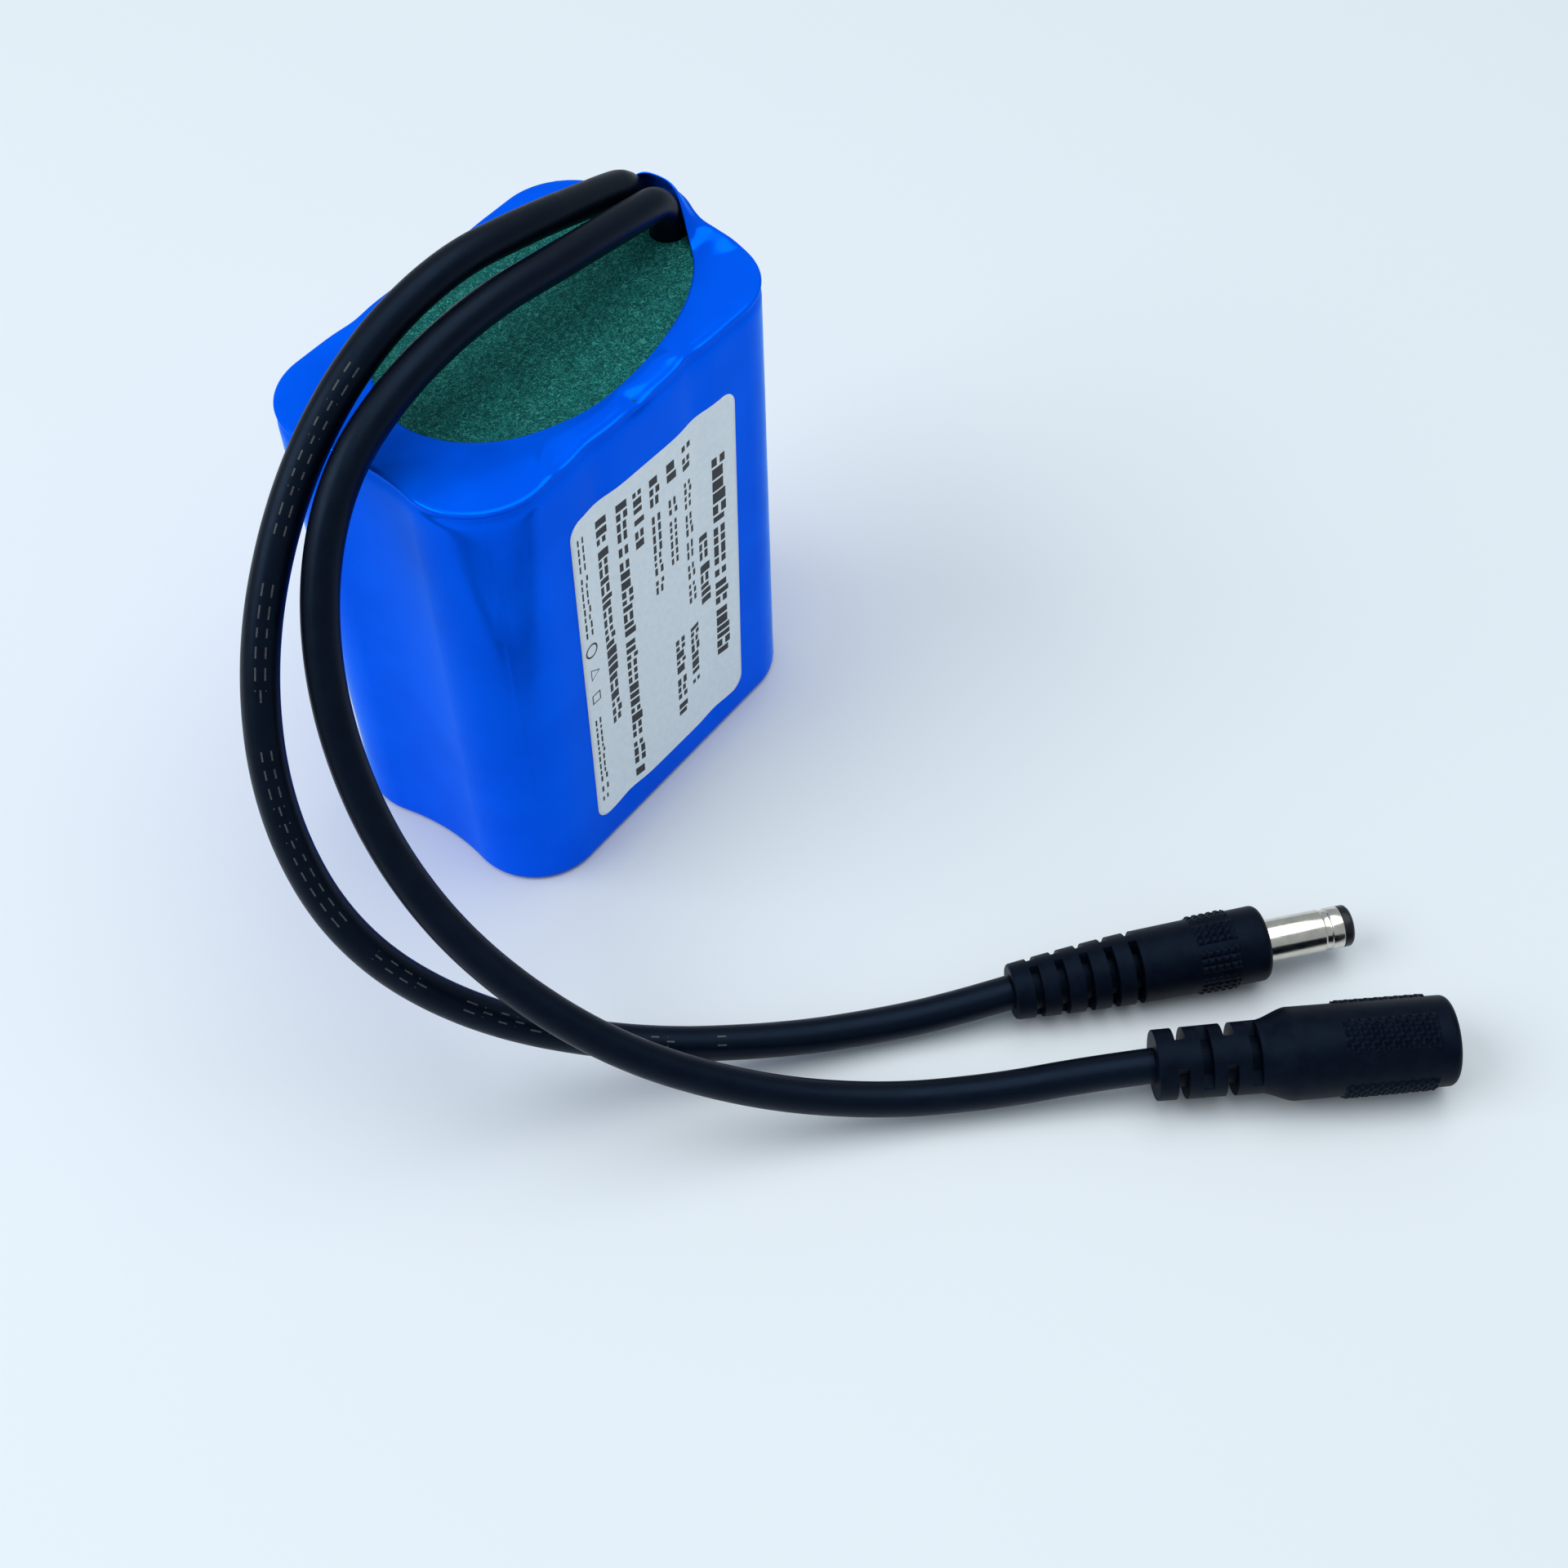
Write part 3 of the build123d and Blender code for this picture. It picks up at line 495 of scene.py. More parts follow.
def swell(x, y, z, outward):
    """How far the film stands out of the plan, in millimetres, at a point of the wall."""
    end_fade = smooth((z - 1.0) / 7.0) * (1 - 0.35 * smooth((z - 60.0) / 7.0))
    out = 0.0
    if abs(sin(outward)) > 0.9 and abs(x) < CORE_X + 2:
        out -= sum(GAP_DEPTH * bell(x - gap, GAP_WIDTH) for gap in CELL_GAPS) * end_fade
    if cos(outward) > 0.9:
        ridges = sum(bell(y - edge, 0.7) for edge in BOARD_EDGES)
        out += BOARD_RIDGE * ridges * end_fade * smooth((62.0 - z) / 4.0)
    for fold in FOLD_ANGLES:
        turn = (outward - fold + pi) % (2 * pi) - pi
        out += (0.09 * bell(turn, 0.03) - 0.05 * bell(turn, 0.09)) * end_fade
    out += 0.05 * noise.noise((x * 0.11, y * 0.11, z * 0.04)) * end_fade
    return out


# Height above the lip's outer side, and inset, of the rows that make the pinched bead under the rim.
RIM_ROWS = [(-2.6, 0.0), (-2.1, 0.04), (-1.7, 0.14), (-1.4, 0.26), (-1.15, 0.34), (-0.95, 0.33),
            (-0.75, 0.22), (-0.58, 0.08), (-0.42, 0.0), (-0.28, -0.01), (-0.15, 0.05), (-0.05, 0.18),
            (0.01, 0.38), (0.04, 0.65), (0.05, 1.0)]
RIM_DEPTH = -RIM_ROWS[0][0]
# Small kinks of the rim on the labelled side: x, height and width.
RIM_KINKS = [(-16.8, 0.22, 1.2), (-1.0, -0.3, 1.5), (7.7, 0.2, 1.4)]
RIM_DENT = -1.0                          # x of the deeper pinch there
RIM_DENT_WIDTH = 2.2
LIP_ROWS = 26
WALL_STEP = 1.1
BASE_ROUND = 1.1


def free_edge(x, y):
    """The point of the lip's free edge in the direction of x, y, and its share of the hood's height."""
    turn = atan2(y, x - OPENING_X)
    reach = OPENING_FRONT if cos(turn) > 0 else OPENING_BACK
    radius = 1 / hypot(cos(turn) / reach, sin(turn) / OPENING_HALF)
    edge_x, edge_y = OPENING_X + radius * cos(turn), radius * sin(turn)
    flat_topped = bell((edge_y - HOOD_Y) ** 2, HOOD_WIDTH ** 2)
    rise = HOOD_RISE * flat_topped * smooth((edge_x - HOOD_START) / HOOD_RUN)
    wave = 0.12 * noise.noise((edge_x * 0.13, edge_y * 0.13, 4.0))
    return Vector((edge_x, edge_y, TOP - 0.02 + rise + wave)), rise / HOOD_RISE


# Height of the rim above the flat lip, by y, where the film is drawn up over the cords on the +X side.
CREST = [(-14.0, 0.0), (-11.5, 0.15), (-9.0, 0.75), (-7.0, 1.1), (-5.0, 1.5), (-3.8, 2.3), (-2.7, 3.5),
         (-1.2, 4.2), (1.0, 4.5), (3.0, 4.8), (4.6, 4.2), (6.5, 2.7), (9.0, 1.1), (13.0, 0.0)]
CREST_START = 20.0                       # x where the rim begins to rise
CREST_RUN = 7.0


def crest(x, y):
    """How far the rim is raised at a place round the pack: a smooth curve through the crest's points."""
    if y <= CREST[0][0] or y >= CREST[-1][0]:
        return 0.0
    k = max(i for i, (place, height) in enumerate(CREST) if place <= y)
    knots = [CREST[max(0, min(len(CREST) - 1, k + step))] for step in (-1, 0, 1, 2)]
    slopes = []
    for before, after in ((knots[0], knots[2]), (knots[1], knots[3])):
        slopes.append((after[1] - before[1]) / (after[0] - before[0]))
    (start, low), (end, high) = knots[1], knots[2]
    width = end - start
    t = (y - start) / width
    height = (low * (1 + 2 * t) * (1 - t) ** 2 + slopes[0] * width * t * (1 - t) ** 2
              + high * t * t * (3 - 2 * t) + slopes[1] * width * t * t * (t - 1))
    return max(0.0, height) * smooth((x - CREST_START) / CREST_RUN)


def lip_column(x, y, outward):
    """Points from the wall under the rim to the lip's free edge, at one place round the pack."""
    plan, normal = Vector((x, y, 0)), Vector((cos(outward), sin(outward), 0))
    edge, hood = free_edge(x, y)
    dent = swell(x, y, TOP - 5, outward)
    raised = crest(x, y)
    pinch = 1 - smooth((raised - 0.2) / 0.9)
    kink = 0.0
    if sin(outward) < -0.9:
        kink = sum(height * bell(x - place, width) for place, height, width in RIM_KINKS)
        pinch *= 1 + 0.5 * bell(x - RIM_DENT, RIM_DENT_WIDTH)
    rows = []
    for height, inset in RIM_ROWS:
        pull = smooth((height + RIM_DEPTH) / (RIM_DEPTH + 0.05))
        level = TOP + height + (raised + kink) * pull
        inward = inset * pinch if height < -0.3 else mix(min(inset, 0.25), inset, pinch)
        rows.append(plan + normal * (dent - inward) + Vector((0, 0, level)))
    start = rows[-1]
    for row in range(1, LIP_ROWS + 1):
        share = row / LIP_ROWS
        point = start.lerp(edge, share)
        point.z = mix(start.z, edge.z, smooth(share)) + 0.16 * sin(pi * share) * (1 - hood)
        rows.append(point)
    return rows


BASE_HALF_X = 20.0                       # the opening in the folded film under the base
BASE_HALF_Y = 12.0
BASE_ROWS = 14
BASE_ROUND_ROWS = 6
PLEAT = 0.16                             # height of the pleats at the opening's edge


def base_column(x, y, outward):
    """Points from the opening under the base out to the wall."""
    normal = Vector((cos(outward), sin(outward), 0))
    plan = Vector((x, y, 0))
    turn = atan2(y, x)
    radius = 1 / hypot(cos(turn) / BASE_HALF_X, sin(turn) / BASE_HALF_Y)
    inner = Vector((radius * cos(turn), radius * sin(turn), 0))
    outer = plan - normal * BASE_ROUND
    rows = []
    for row in range(BASE_ROWS + 1):
        share = row / BASE_ROWS
        point = inner.lerp(outer, share)
        pleat = 0.5 + 0.5 * noise.noise((7 * cos(turn), 7 * sin(turn), 0.4 * share))
        point.z = PLEAT * pleat * (1 - smooth((share - 0.35) / 0.6))
        rows.append(point)
    for step in range(1, BASE_ROUND_ROWS + 1):
        angle = step / BASE_ROUND_ROWS * pi / 2
        rise = Vector((0, 0, BASE_ROUND * (1 - cos(angle))))
        rows.append(outer + normal * BASE_ROUND * sin(angle) + rise)
    return rows


def film_piece():
    """The whole shrink film: base fold, wall, pinched rim, lip and the hood over the cords."""
    wall_top = TOP - RIM_DEPTH
    wall_rows = ceil((wall_top - BASE_ROUND) / WALL_STEP)
    columns = []
    for x, y, outward in plan_points():
        plan, normal = Vector((x, y, 0)), Vector((cos(outward), sin(outward), 0))
        column = base_column(x, y, outward)
        for row in range(1, wall_rows):
            z = mix(BASE_ROUND, wall_top, row / wall_rows)
            column.append(plan + normal * swell(x, y, z, outward) + Vector((0, 0, z)))
        columns.append(column + lip_column(x, y, outward))
    rings = len(columns[0])
    points = [column[ring] for ring in range(rings) for column in columns]
    piece = mesh_piece("film", points, ring_faces(len(columns), rings), film_blue)
    skin = piece.modifiers.new("thickness", "SOLIDIFY")
    skin.thickness = FILM * 0.85 * MM
    skin.offset = -1
    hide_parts("shrink_wrap")
    return piece


film_piece()


# ---- Label ---------------------------------------------------------------------------------------

LABEL_WIDTH = 31.5
LABEL_HEIGHT = 54.0
LABEL_ROUND = 2.2
LABEL_X = -0.3
LABEL_Z = 32.3
LABEL_TURN = radians(-1.6)
LABEL_THICK = 0.1


def on_label(across, along, proud):
    """Row-frame point from distances across the label, from its +X edge, and down it from its top edge."""
    a, b = LABEL_WIDTH / 2 - across, LABEL_HEIGHT / 2 - along
    x = LABEL_X + a * cos(LABEL_TURN) - b * sin(LABEL_TURN)
    z = LABEL_Z + a * sin(LABEL_TURN) + b * cos(LABEL_TURN)
    return Vector((x, -HALF_Y - swell(x, -HALF_Y, z, -pi / 2) - proud, z))


def label_piece():
    """A rounded sheet that follows the film under it."""
    rows, columns = 60, 40
    points = []
    for row in range(rows + 1):
        down = LABEL_HEIGHT * (1 - cos(pi * row / rows)) / 2
        near_end = LABEL_ROUND - min(down, LABEL_HEIGHT - down, LABEL_ROUND)
        trim = LABEL_ROUND - sqrt(LABEL_ROUND ** 2 - near_end ** 2)
        for column in range(columns + 1):
            across = mix(trim, LABEL_WIDTH - trim, column / columns)
            points.append(on_label(across, down, LABEL_THICK))
    faces = []
    for row in range(rows):
        for column in range(columns):
            first = row * (columns + 1) + column
            faces.append((first, first + 1, first + columns + 2, first + columns + 1))
    piece = mesh_piece("label_sheet", points, faces, label_white)
    skin = piece.modifiers.new("thickness", "SOLIDIFY")
    skin.thickness = LABEL_THICK * MM
    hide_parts("label")


label_piece()

INK_PROUD = 0.115
INK_THICK = 0.02
INK_STRIP = 0.4                          # widest strip of a mark that is laid flat on the label
# Rows of plain marks: distance across the label, first and last distance along it, mark height, boldness.
TEXT_ROWS = [
    (3.5, 8.6, 44.4, 2.5, 1.0),
    (6.6, 20.0, 32.4, 2.0, 0.95),
    (9.6, 2.4, 6.6, 1.9, 1.0), (9.6, 8.4, 29.9, 1.8, 0.75), (9.6, 34.2, 45.7, 1.9, 0.95),
    (12.8, 2.9, 7.2, 1.9, 1.0), (12.8, 8.8, 20.2, 1.8, 0.75), (12.8, 34.0, 49.0, 1.9, 0.95),
    (16.1, 3.0, 7.4, 1.9, 1.0), (16.1, 9.2, 22.1, 1.8, 0.75),
    (19.2, 2.9, 12.5, 1.9, 1.0),
    (22.2, 2.6, 52.0, 2.0, 0.95),
    (25.7, 2.7, 39.4, 2.0, 0.95),
    (29.7, 2.7, 19.0, 1.7, 0.5), (29.7, 34.6, 50.8, 1.6, 0.6),
]


# The plain outlines: distance along the label and number of sides.
OUTLINES = [(22.0, 24), (26.2, 3), (30.6, 4)]
OUTLINE_ACROSS = 29.7
OUTLINE_RADII = (1.15, 0.9)


def bar(points, faces, across, along, wide, long):
    """Adds one printed bar centred at a place on the label, in strips that follow its curve."""
    strips = ceil(wide / INK_STRIP)
    first = len(points)
    for strip in range(strips + 1):
        place = across + (strip / strips - 0.5) * wide
        for end in (-1, 1):
            points.append(on_label(place, along + end * long / 2, INK_PROUD))
    for strip in range(strips):
        low = first + 2 * strip
        faces.append((low, low + 2, low + 3, low + 1))


def print_piece():
    """The label's print, as rows of plain blocks and dashes with no meaning, and three plain outlines."""
    draw = random.Random(11)
    points, faces = [], []
    for across, start, end, height, weight in TEXT_ROWS:
        place = start
        while place < end - 0.5:
            length = draw.uniform(0.35, 0.75) * height
            tall = height * draw.choice((0.8, 0.8, 0.95))
            foot = across + (height - tall) / 2
            if weight > 0.9 and draw.random() < 0.5:
                bar(points, faces, foot, place + length / 2, tall, length)
            else:
                for side in (-1, 1):
                    dash = foot + side * tall * 0.32
                    bar(points, faces, dash, place + length / 2, tall * 0.4 * weight, length)
            place += length + draw.uniform(0.3, 0.45)
            if draw.random() < 0.16:
                place += 0.7
    for centre, sides in OUTLINES:
        first = len(points)
        for radius in OUTLINE_RADII:
            for k in range(sides):
                turn = 2 * pi * (k + 0.5) / sides
                across, along = OUTLINE_ACROSS + radius * cos(turn), centre + radius * sin(turn)
                points.append(on_label(across, along, INK_PROUD))
        for k in range(sides):
            after = (k + 1) % sides
            faces.append((first + k, first + after, first + sides + after, first + sides + k))
    piece = mesh_piece("label_print", points, faces, label_ink, shade_smooth=False)
    skin = piece.modifiers.new("thickness", "SOLIDIFY")
    skin.thickness = INK_THICK * MM


print_piece()


# ---- Connectors ----------------------------------------------------------------------------------

def turned(name, profile, back, forward, top, material, count=96, shape=None):
    """A turned piece: profile is (distance forward, radius) points; shape may change each ring's radii."""
    side = forward.cross(top)
    points = []
    for ring, (distance, radius) in enumerate(profile):
        for k in range(count):
            angle = 2 * pi * k / count
            reach = shape(ring, distance, angle, radius) if shape else radius
            points.append(back + forward * distance + (top * cos(angle) + side * sin(angle)) * reach)
    faces = [tuple(reversed(face)) for face in ring_faces(count, len(profile))]
    faces.append(tuple(range(count)))
    faces.append(tuple(reversed(range((len(profile) - 1) * count, len(profile) * count))))
    return mesh_piece(name, points, faces, material)


def rounded(corners, radius=0.1, steps=3):
    """A profile with each inner corner rounded off by a short curve."""
    points = [corners[0]]
    for before, corner, after in zip(corners, corners[1:], corners[2:]):
        a, b, c = Vector(before), Vector(corner), Vector(after)
        reach = min(radius, (b - a).length * 0.45, (c - b).length * 0.45)
        start, end = b + (a - b).normalized() * reach, b + (c - b).normalized() * reach
        for step in range(steps + 1):
            t = step / steps
            points.append(tuple(start * (1 - t) ** 2 + b * 2 * t * (1 - t) + end * t * t))
    return points + [corners[-1]]


def diamonds(distance, arc_place, pitch_along, pitch_round, crossed):
    """0 to 1 height of a knurl: square pyramids, or diamonds where crossed."""
    a, b = distance / pitch_along, arc_place / pitch_round
    if crossed:
        a, b = a + b, a - b
    peak = min(1 - abs(2 * (a - floor(a)) - 1), 1 - abs(2 * (b - floor(b)) - 1))
    return min(1.0, 1.6 * peak)


COARSE = 0.3                             # spacing of a moulding's rings
FINE = 0.1                               # and over its knurl


class Grip:
    """The patches of knurl round a connector: equal pads, evenly spaced."""

    def __init__(self, count, start, end, width, rise, pitch_along, pitch_round, crossed):
        self.spacing = 2 * pi / count
        self.start, self.end, self.width, self.rise = start, end, width, rise
        self.pitch_along, self.pitch_round, self.crossed = pitch_along, pitch_round, crossed

    def height(self, distance, angle, radius):
        """How far the knurl stands out of a surface of this radius."""
        place = ((angle + self.spacing / 2) % self.spacing - self.spacing / 2) * radius
        inside = min(distance - self.start, self.end - distance, self.width / 2 - abs(place))
        if inside <= 0:
            return 0.0
        pad = min(1.0, inside / 0.12)
        peaks = diamonds(distance - self.start, place + self.width / 2, self.pitch_along, self.pitch_round,
                         self.crossed)
        return self.rise * pad * (0.1 + 0.9 * peaks)


class Slots:
    """Strain relief slots, cut down to the core between two webs that face each other."""

    def __init__(self, core, width, places):
        self.core, self.width, self.places = core, width, places

    def cut(self, distance, angle, radius):
        """Radius left at a place; each slot is (distance, direction of its webs, half a web's width)."""
        for centre, web_angle, half_web in self.places:
            slant = abs(sin(angle - web_angle))
            if abs(distance - centre) < self.width / 2 + 1e-6 and radius * slant > half_web:
                radius = max(self.core, half_web / slant)
        return radius

    def walls(self):
        """Distances that bracket each wall of each slot, so the walls come out steep."""
        return [centre + side * (self.width / 2 + shift) for centre, web_angle, half_web in self.places
                for side in (-1, 1) for shift in (-0.1, 0.0, 0.02, 0.14)]


def moulding_profile(outline, slots, grip):
    """Distances and radii along the outer side, dense over the slots' walls and the knurl."""
    first, last = outline[0][0], outline[-1][0]
    places = {round(first + COARSE * k, 4) for k in range(int((last - first) / COARSE) + 1)}
    places |= {round(place, 4) for place in slots.walls() if first < place < last}
    places |= {round(place, 4) for place, radius in outline}
    knurl_rings = int((grip.end - grip.start + 0.4) / FINE)
    places |= {round(grip.start - 0.2 + FINE * k, 4) for k in range(knurl_rings)}
    profile = []
    for place in sorted(places):
        for (a, radius_a), (b, radius_b) in zip(outline, outline[1:]):
            if a <= place <= b:
                profile.append((place, mix(radius_a, radius_b, (place - a) / (b - a) if b > a else 0)))
                break
    return profile


def moulding(name, node, outline, hole, slots, grip, back, forward, top):
    """A moulded connector body: outer side with slots and knurl, front face and the hole behind it."""
    outer = moulding_profile(outline, slots, grip)
    back_face = [(outer[0][0], CORD_RADIUS * 0.5), (outer[0][0], outer[0][1] - 0.05)]

    def relief(ring, distance, angle, radius):
        """The outer side's radius with its slots and knurl; the other rings stay plain."""
        if not len(back_face) <= ring < len(back_face) + len(outer):
            return radius
        return slots.cut(distance, angle, radius) + grip.height(distance, angle, radius)

    piece = turned(name, back_face + outer + hole, back, forward, top, moulded, 240, relief)
    creases = piece.modifiers.new("creases", "EDGE_SPLIT")
    creases.split_angle = radians(38)
    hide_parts(node)
    return piece


FRONT_ROUND = 0.9                        # rounding of a moulding's front edge
PLUG_RADIUS = 4.9
PLUG_LENGTH = 33.3
PLUG_BACK_RADIUS = 3.6
PLUG_WAIST = 16.0
BARREL_START = 26.0
BARREL_ROOT = 2.55
BARREL_RADIUS = 2.75
BARREL_LINING = 2.3
BARREL_END = 43.6
INNER_START = 30.0                       # inner tube of the plug and the black sleeve round it
INNER_RADIUS = 1.5


def front_edge(length, radius):
    """Quarter round from the outer side of a moulding onto its front face."""
    angles = [step / 7 * pi / 2 for step in range(8)]
    place, level = length - FRONT_ROUND, radius - FRONT_ROUND
    return [(place + FRONT_ROUND * sin(a), level + FRONT_ROUND * cos(a)) for a in angles]


def plug_outline():
    """Outer side of the plug's moulding: slim at the back, widening to the waist and then hardly at all."""
    points = [(0.0, PLUG_BACK_RADIUS - 0.25), (0.12, PLUG_BACK_RADIUS - 0.08), (0.3, PLUG_BACK_RADIUS)]
    for step in range(1, 25):
        t = step / 24
        points.append((mix(0.3, PLUG_WAIST, t), PLUG_BACK_RADIUS + 1.42 * t - 0.36 * t * t))
    return points + front_edge(PLUG_LENGTH, PLUG_RADIUS)


plug_slots = Slots(2.75, 1.1, [(2.95 + 3.24 * k, radians(21), 0.75) for k in range(5)])
plug_grip = Grip(8, 23.8, 29.0, 3.0, 0.3, 0.95, 1.0, False)
plug_body = moulding("plug_body", "plug_moulding", plug_outline(),
                     [(PLUG_LENGTH, BARREL_ROOT + 0.04), (BARREL_START, BARREL_ROOT + 0.02),
                      (BARREL_START, 0.4)],
                     plug_slots, plug_grip, PLUG_BACK, plug_forward, plug_top)

JACK_RADIUS = 5.65
JACK_LENGTH = 36.9
RELIEF_RADIUS = 4.4
RELIEF_END_RADIUS = 4.55
RELIEF_LENGTH = 13.1
CONE_END = 16.8
CONE_RADIUS = 5.8
SOCKET_START = 23.1
SOCKET_RADIUS = 4.2


def jack_outline():
    """Outer side of the socket's moulding: straight relief, a short cone and the barrel of the body."""
    points = [(0.0, RELIEF_RADIUS - 0.1), (0.05, RELIEF_RADIUS - 0.03), (0.15, RELIEF_RADIUS),
              (RELIEF_LENGTH, RELIEF_END_RADIUS)]
    for step in range(1, 11):
        t = step / 10
        share = t + 0.5 * t * (1 - t) * (2 * t - 1)
        points.append((mix(RELIEF_LENGTH, CONE_END, t), mix(RELIEF_END_RADIUS, CONE_RADIUS, share)))
    return points + front_edge(JACK_LENGTH, JACK_RADIUS)


jack_slots = Slots(2.9, 1.3, [(3.0 + 3.0 * k, pi / 2 if k % 2 == 0 else 0.0, 1.9) for k in range(4)])
jack_grip = Grip(4, 22.7, 34.3, 4.5, 0.33, 1.25, 1.3, True)
jack_body = moulding("jack_body", "jack_moulding", jack_outline(),
                     [(JACK_LENGTH, SOCKET_RADIUS + 0.02), (SOCKET_START, SOCKET_RADIUS + 0.02),
                      (SOCKET_START, 0.4)],
                     jack_slots, jack_grip, JACK_BACK, jack_forward, jack_top)

plug_frame = (PLUG_BACK, plug_forward, plug_top)
barrel = turned("plug_barrel_shell", rounded([
    (BARREL_START, BARREL_LINING), (BARREL_START, BARREL_ROOT), (PLUG_LENGTH, BARREL_ROOT),
    (PLUG_LENGTH, BARREL_RADIUS), (41.1, BARREL_RADIUS), (41.25, 2.57), (41.95, 2.57),
    (42.1, BARREL_RADIUS), (BARREL_END, BARREL_RADIUS), (BARREL_END, BARREL_LINING),
    (BARREL_START, BARREL_LINING)], 0.06), *plug_frame, nickel_plate)
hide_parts("plug_barrel")
ring = turned("plug_tip_ring", rounded([
    (INNER_START, INNER_RADIUS), (INNER_START, BARREL_LINING), (BARREL_END, BARREL_LINING),
    (BARREL_END, 2.7), (44.65, 2.7), (45.0, 2.35), (45.0, 1.5), (44.65, 1.25), (43.85, 1.25),
    (43.85, INNER_RADIUS), (INNER_START, INNER_RADIUS)], 0.12), *plug_frame, socket_plastic)
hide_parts("plug_insulator")
inner = turned("plug_inner_tube", rounded([
    (INNER_START, 0.02), (INNER_START, INNER_RADIUS), (43.85, INNER_RADIUS), (43.85, 1.05),
    (34.6, 1.05), (34.6, 0.02)], 0.05), *plug_frame, nickel_plate)
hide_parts("plug_inner_contact")

jack_frame = (JACK_BACK, jack_forward, jack_top)
pin = turned("jack_pin", rounded([
    (35.7, 0.02), (35.7, 0.45), (35.45, 0.8), (35.1, 1.0), (27.1, 1.0), (27.1, 1.25),
    (SOCKET_START, 1.25), (SOCKET_START, 0.02)], 0.12), *jack_frame, nickel_plate)
pin.data.flip_normals()
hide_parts("jack_centre_pin")


# ---- Print on the plug's cord --------------------------------------------------------------------

PRINT_FACING = Vector((-0.49, -0.38, 0.78))
PRINT_TURN = radians(-14)                # round the cord from there
PRINT_START = 56.0                       # distances along the cord
PRINT_END = 176.0
STROKE = 0.2


def cord_print():
    """A faint run of plain grey marks along the upper, outer side of the plug's cord."""
    line = centreline(plug_cord)
    lengths = [0.0]
    for a, b in zip(line, line[1:]):
        lengths.append(lengths[-1] + (b - a).length)

    def at(distance, around):
        """Point on the sheath at a distance along it, turned around from the way the print faces."""
        k = max(i for i, done in enumerate(lengths) if done <= distance)
        k = min(k, len(line) - 2)
        share = (distance - lengths[k]) / (lengths[k + 1] - lengths[k])
        forward = (line[k + 1] - line[k]).normalized()
        level = forward.cross(PRINT_FACING).normalized()
        up = level.cross(forward)
        middle = line[k].lerp(line[k + 1], share)
        return middle + (up * cos(around) + level * sin(around)) * (CORD_RADIUS + 0.012)

    draw = random.Random(5)
    points, faces = [], []
    place = PRINT_START
    while place < PRINT_END:
        width = draw.uniform(0.9, 1.5)
        style = draw.randrange(3)
        lines = [0.0] if style == 1 else [0.55, -0.55]
        strokes = [(0.0, width, offset, STROKE) for offset in lines]
        strokes.append((width - STROKE if style == 2 else 0.0, STROKE, 0.0, 1.3))
        for start, length, offset, height in strokes:
            first = len(points)
            for a, b in ((0, -1), (1, -1), (1, 1), (0, 1)):
                around = PRINT_TURN + (offset + b * height / 2) / CORD_RADIUS
                points.append(at(place + start + a * length, around))
            faces.append((first, first + 1, first + 2, first + 3))
        place += width + 1.0
        if draw.random() < 0.14:
            place += 4.5
    piece = mesh_piece("plug_cord_print", points, faces, cord_ink, shade_smooth=False)
    return piece


plug_print = cord_print()

tuple(Vector(PLUG_ROUTE[0]) * MM)
tuple(Vector(JACK_ROUTE[0]) * MM)


# ---- Finishes of the CAD pieces that stay --------------------------------------------------------

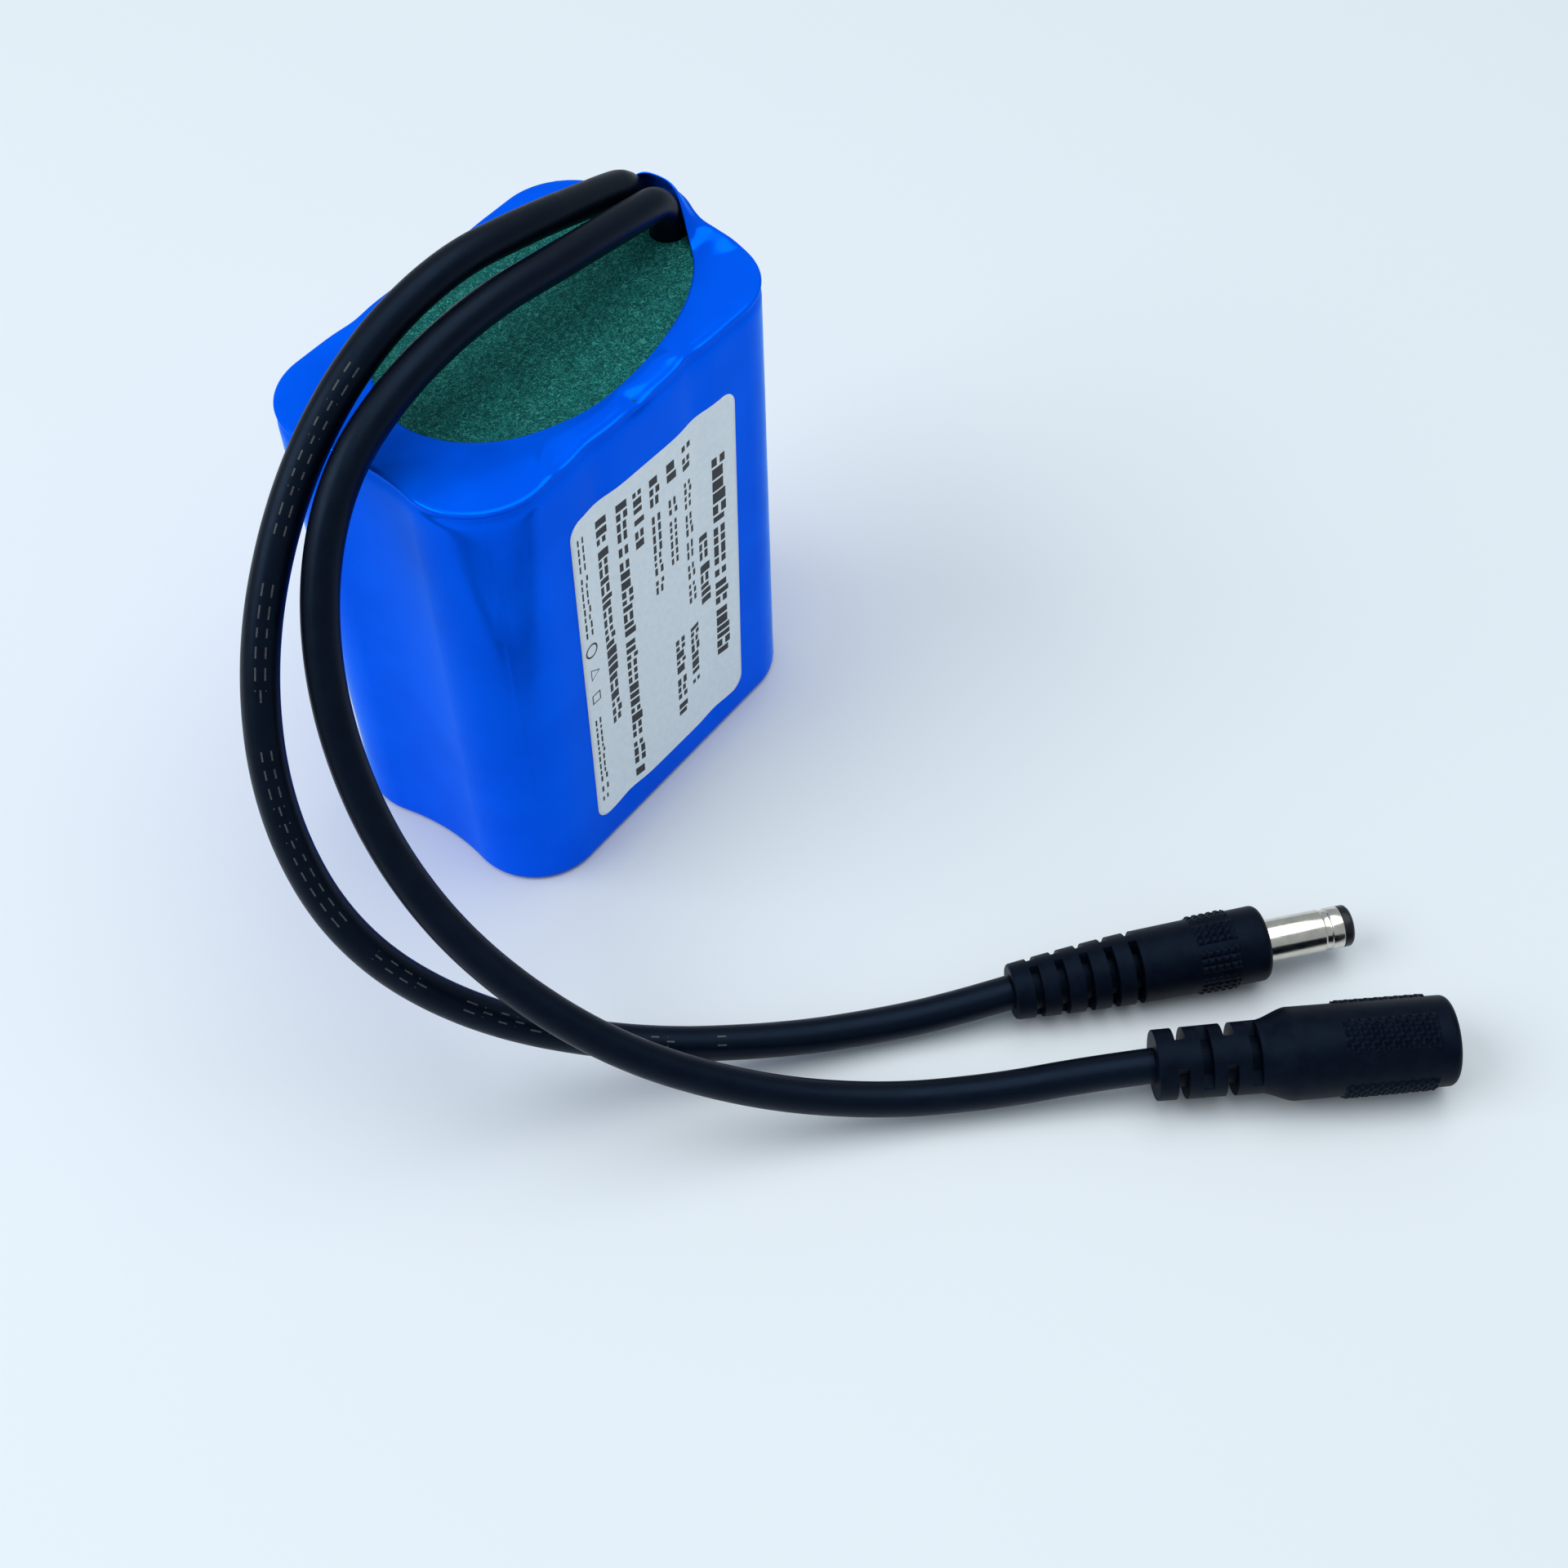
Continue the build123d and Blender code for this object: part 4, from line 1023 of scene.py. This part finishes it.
FINISHES = {
    "green_paper": barley,
    "fibre_board": laminate,
    "grey_foam": foam,
    "cell_steel": can_steel,
    "cell_sleeve": sleeve_film,
    "cap_steel": can_steel,
    "gasket_plastic": gasket_white,
    "electrode_foil": foil_metal,
    "hot_glue": glue,
    "nickel_strip": strip_metal,
    "circuit_board": solder_mask,
    "fish_paper": fish_paper,
    "chip_plastic": chip_black,
    "passive_ceramic": chip_ceramic,
    "red_insulation": red_lead,
    "black_insulation": black_lead,
    "sense_insulation": white_lead,
    "solder": solder_metal,
    "cord_sheath": sheath,
    "moulded_black": moulded,
    "socket_black": socket_plastic,
    "plated_metal": nickel_plate,
    "blue_film": film_blue,
    "white_label": label_white,
}
for part in frame["record"]["subparts"]:
    node = frame["nodes"][part["node"]]
    for holder in node.material_slots:
        holder.material = FINISHES[part["material_slot"]]


# ---- Floor and light -----------------------------------------------------------------------------

def floor_piece():
    """A plain pale floor, six metres square."""
    mesh = bpy.data.meshes.new("floor")
    reach = 3.0
    corners = [(-reach, -reach, 0), (reach, -reach, 0), (reach, reach, 0), (-reach, reach, 0)]
    mesh.from_pydata(corners, [], [(0, 1, 2, 3)])
    floor_object = bpy.data.objects.new("floor", mesh)
    bpy.context.scene.collection.objects.link(floor_object)
    material = plain("pale_floor", (0.675, 0.72, 0.755), 0.6, Specular_IOR_Level=0.3)
    mesh.materials.append(material)


def area_light(name, place, aim, size, power, color):
    """A soft square light at a place, facing its aim, in millimetres and watts."""
    data = bpy.data.lights.new(name, "AREA")
    data.shape = "RECTANGLE"
    data.size, data.size_y = size[0] * MM, size[1] * MM
    data.energy = power
    data.color = color
    light = bpy.data.objects.new(name, data)
    bpy.context.scene.collection.objects.link(light)
    light.location = Vector(place) * MM
    light.rotation_euler = (Vector(aim) - Vector(place)).to_track_quat("-Z", "Y").to_euler()


def make_lights():
    """An even pale room, a window to the left and a wide light overhead."""
    world = bpy.data.worlds.new("soft_room")
    world.use_nodes = True
    room = world.node_tree.nodes["Background"]
    room.inputs["Color"].default_value = (0.84, 0.94, 1.0, 1)
    room.inputs["Strength"].default_value = 0.47
    bpy.context.scene.world = world
    area_light("window", (-700, 500, 900), (0, -30, 30), (900, 700), 7.7, (0.96, 0.98, 1.0))
    area_light("overhead", (200, -100, 1300), (0, -40, 0), (1200, 1200), 10.4, (0.98, 0.99, 1.0))


floor_piece()
make_lights()
bpy.context.scene.view_settings.view_transform = "Standard"
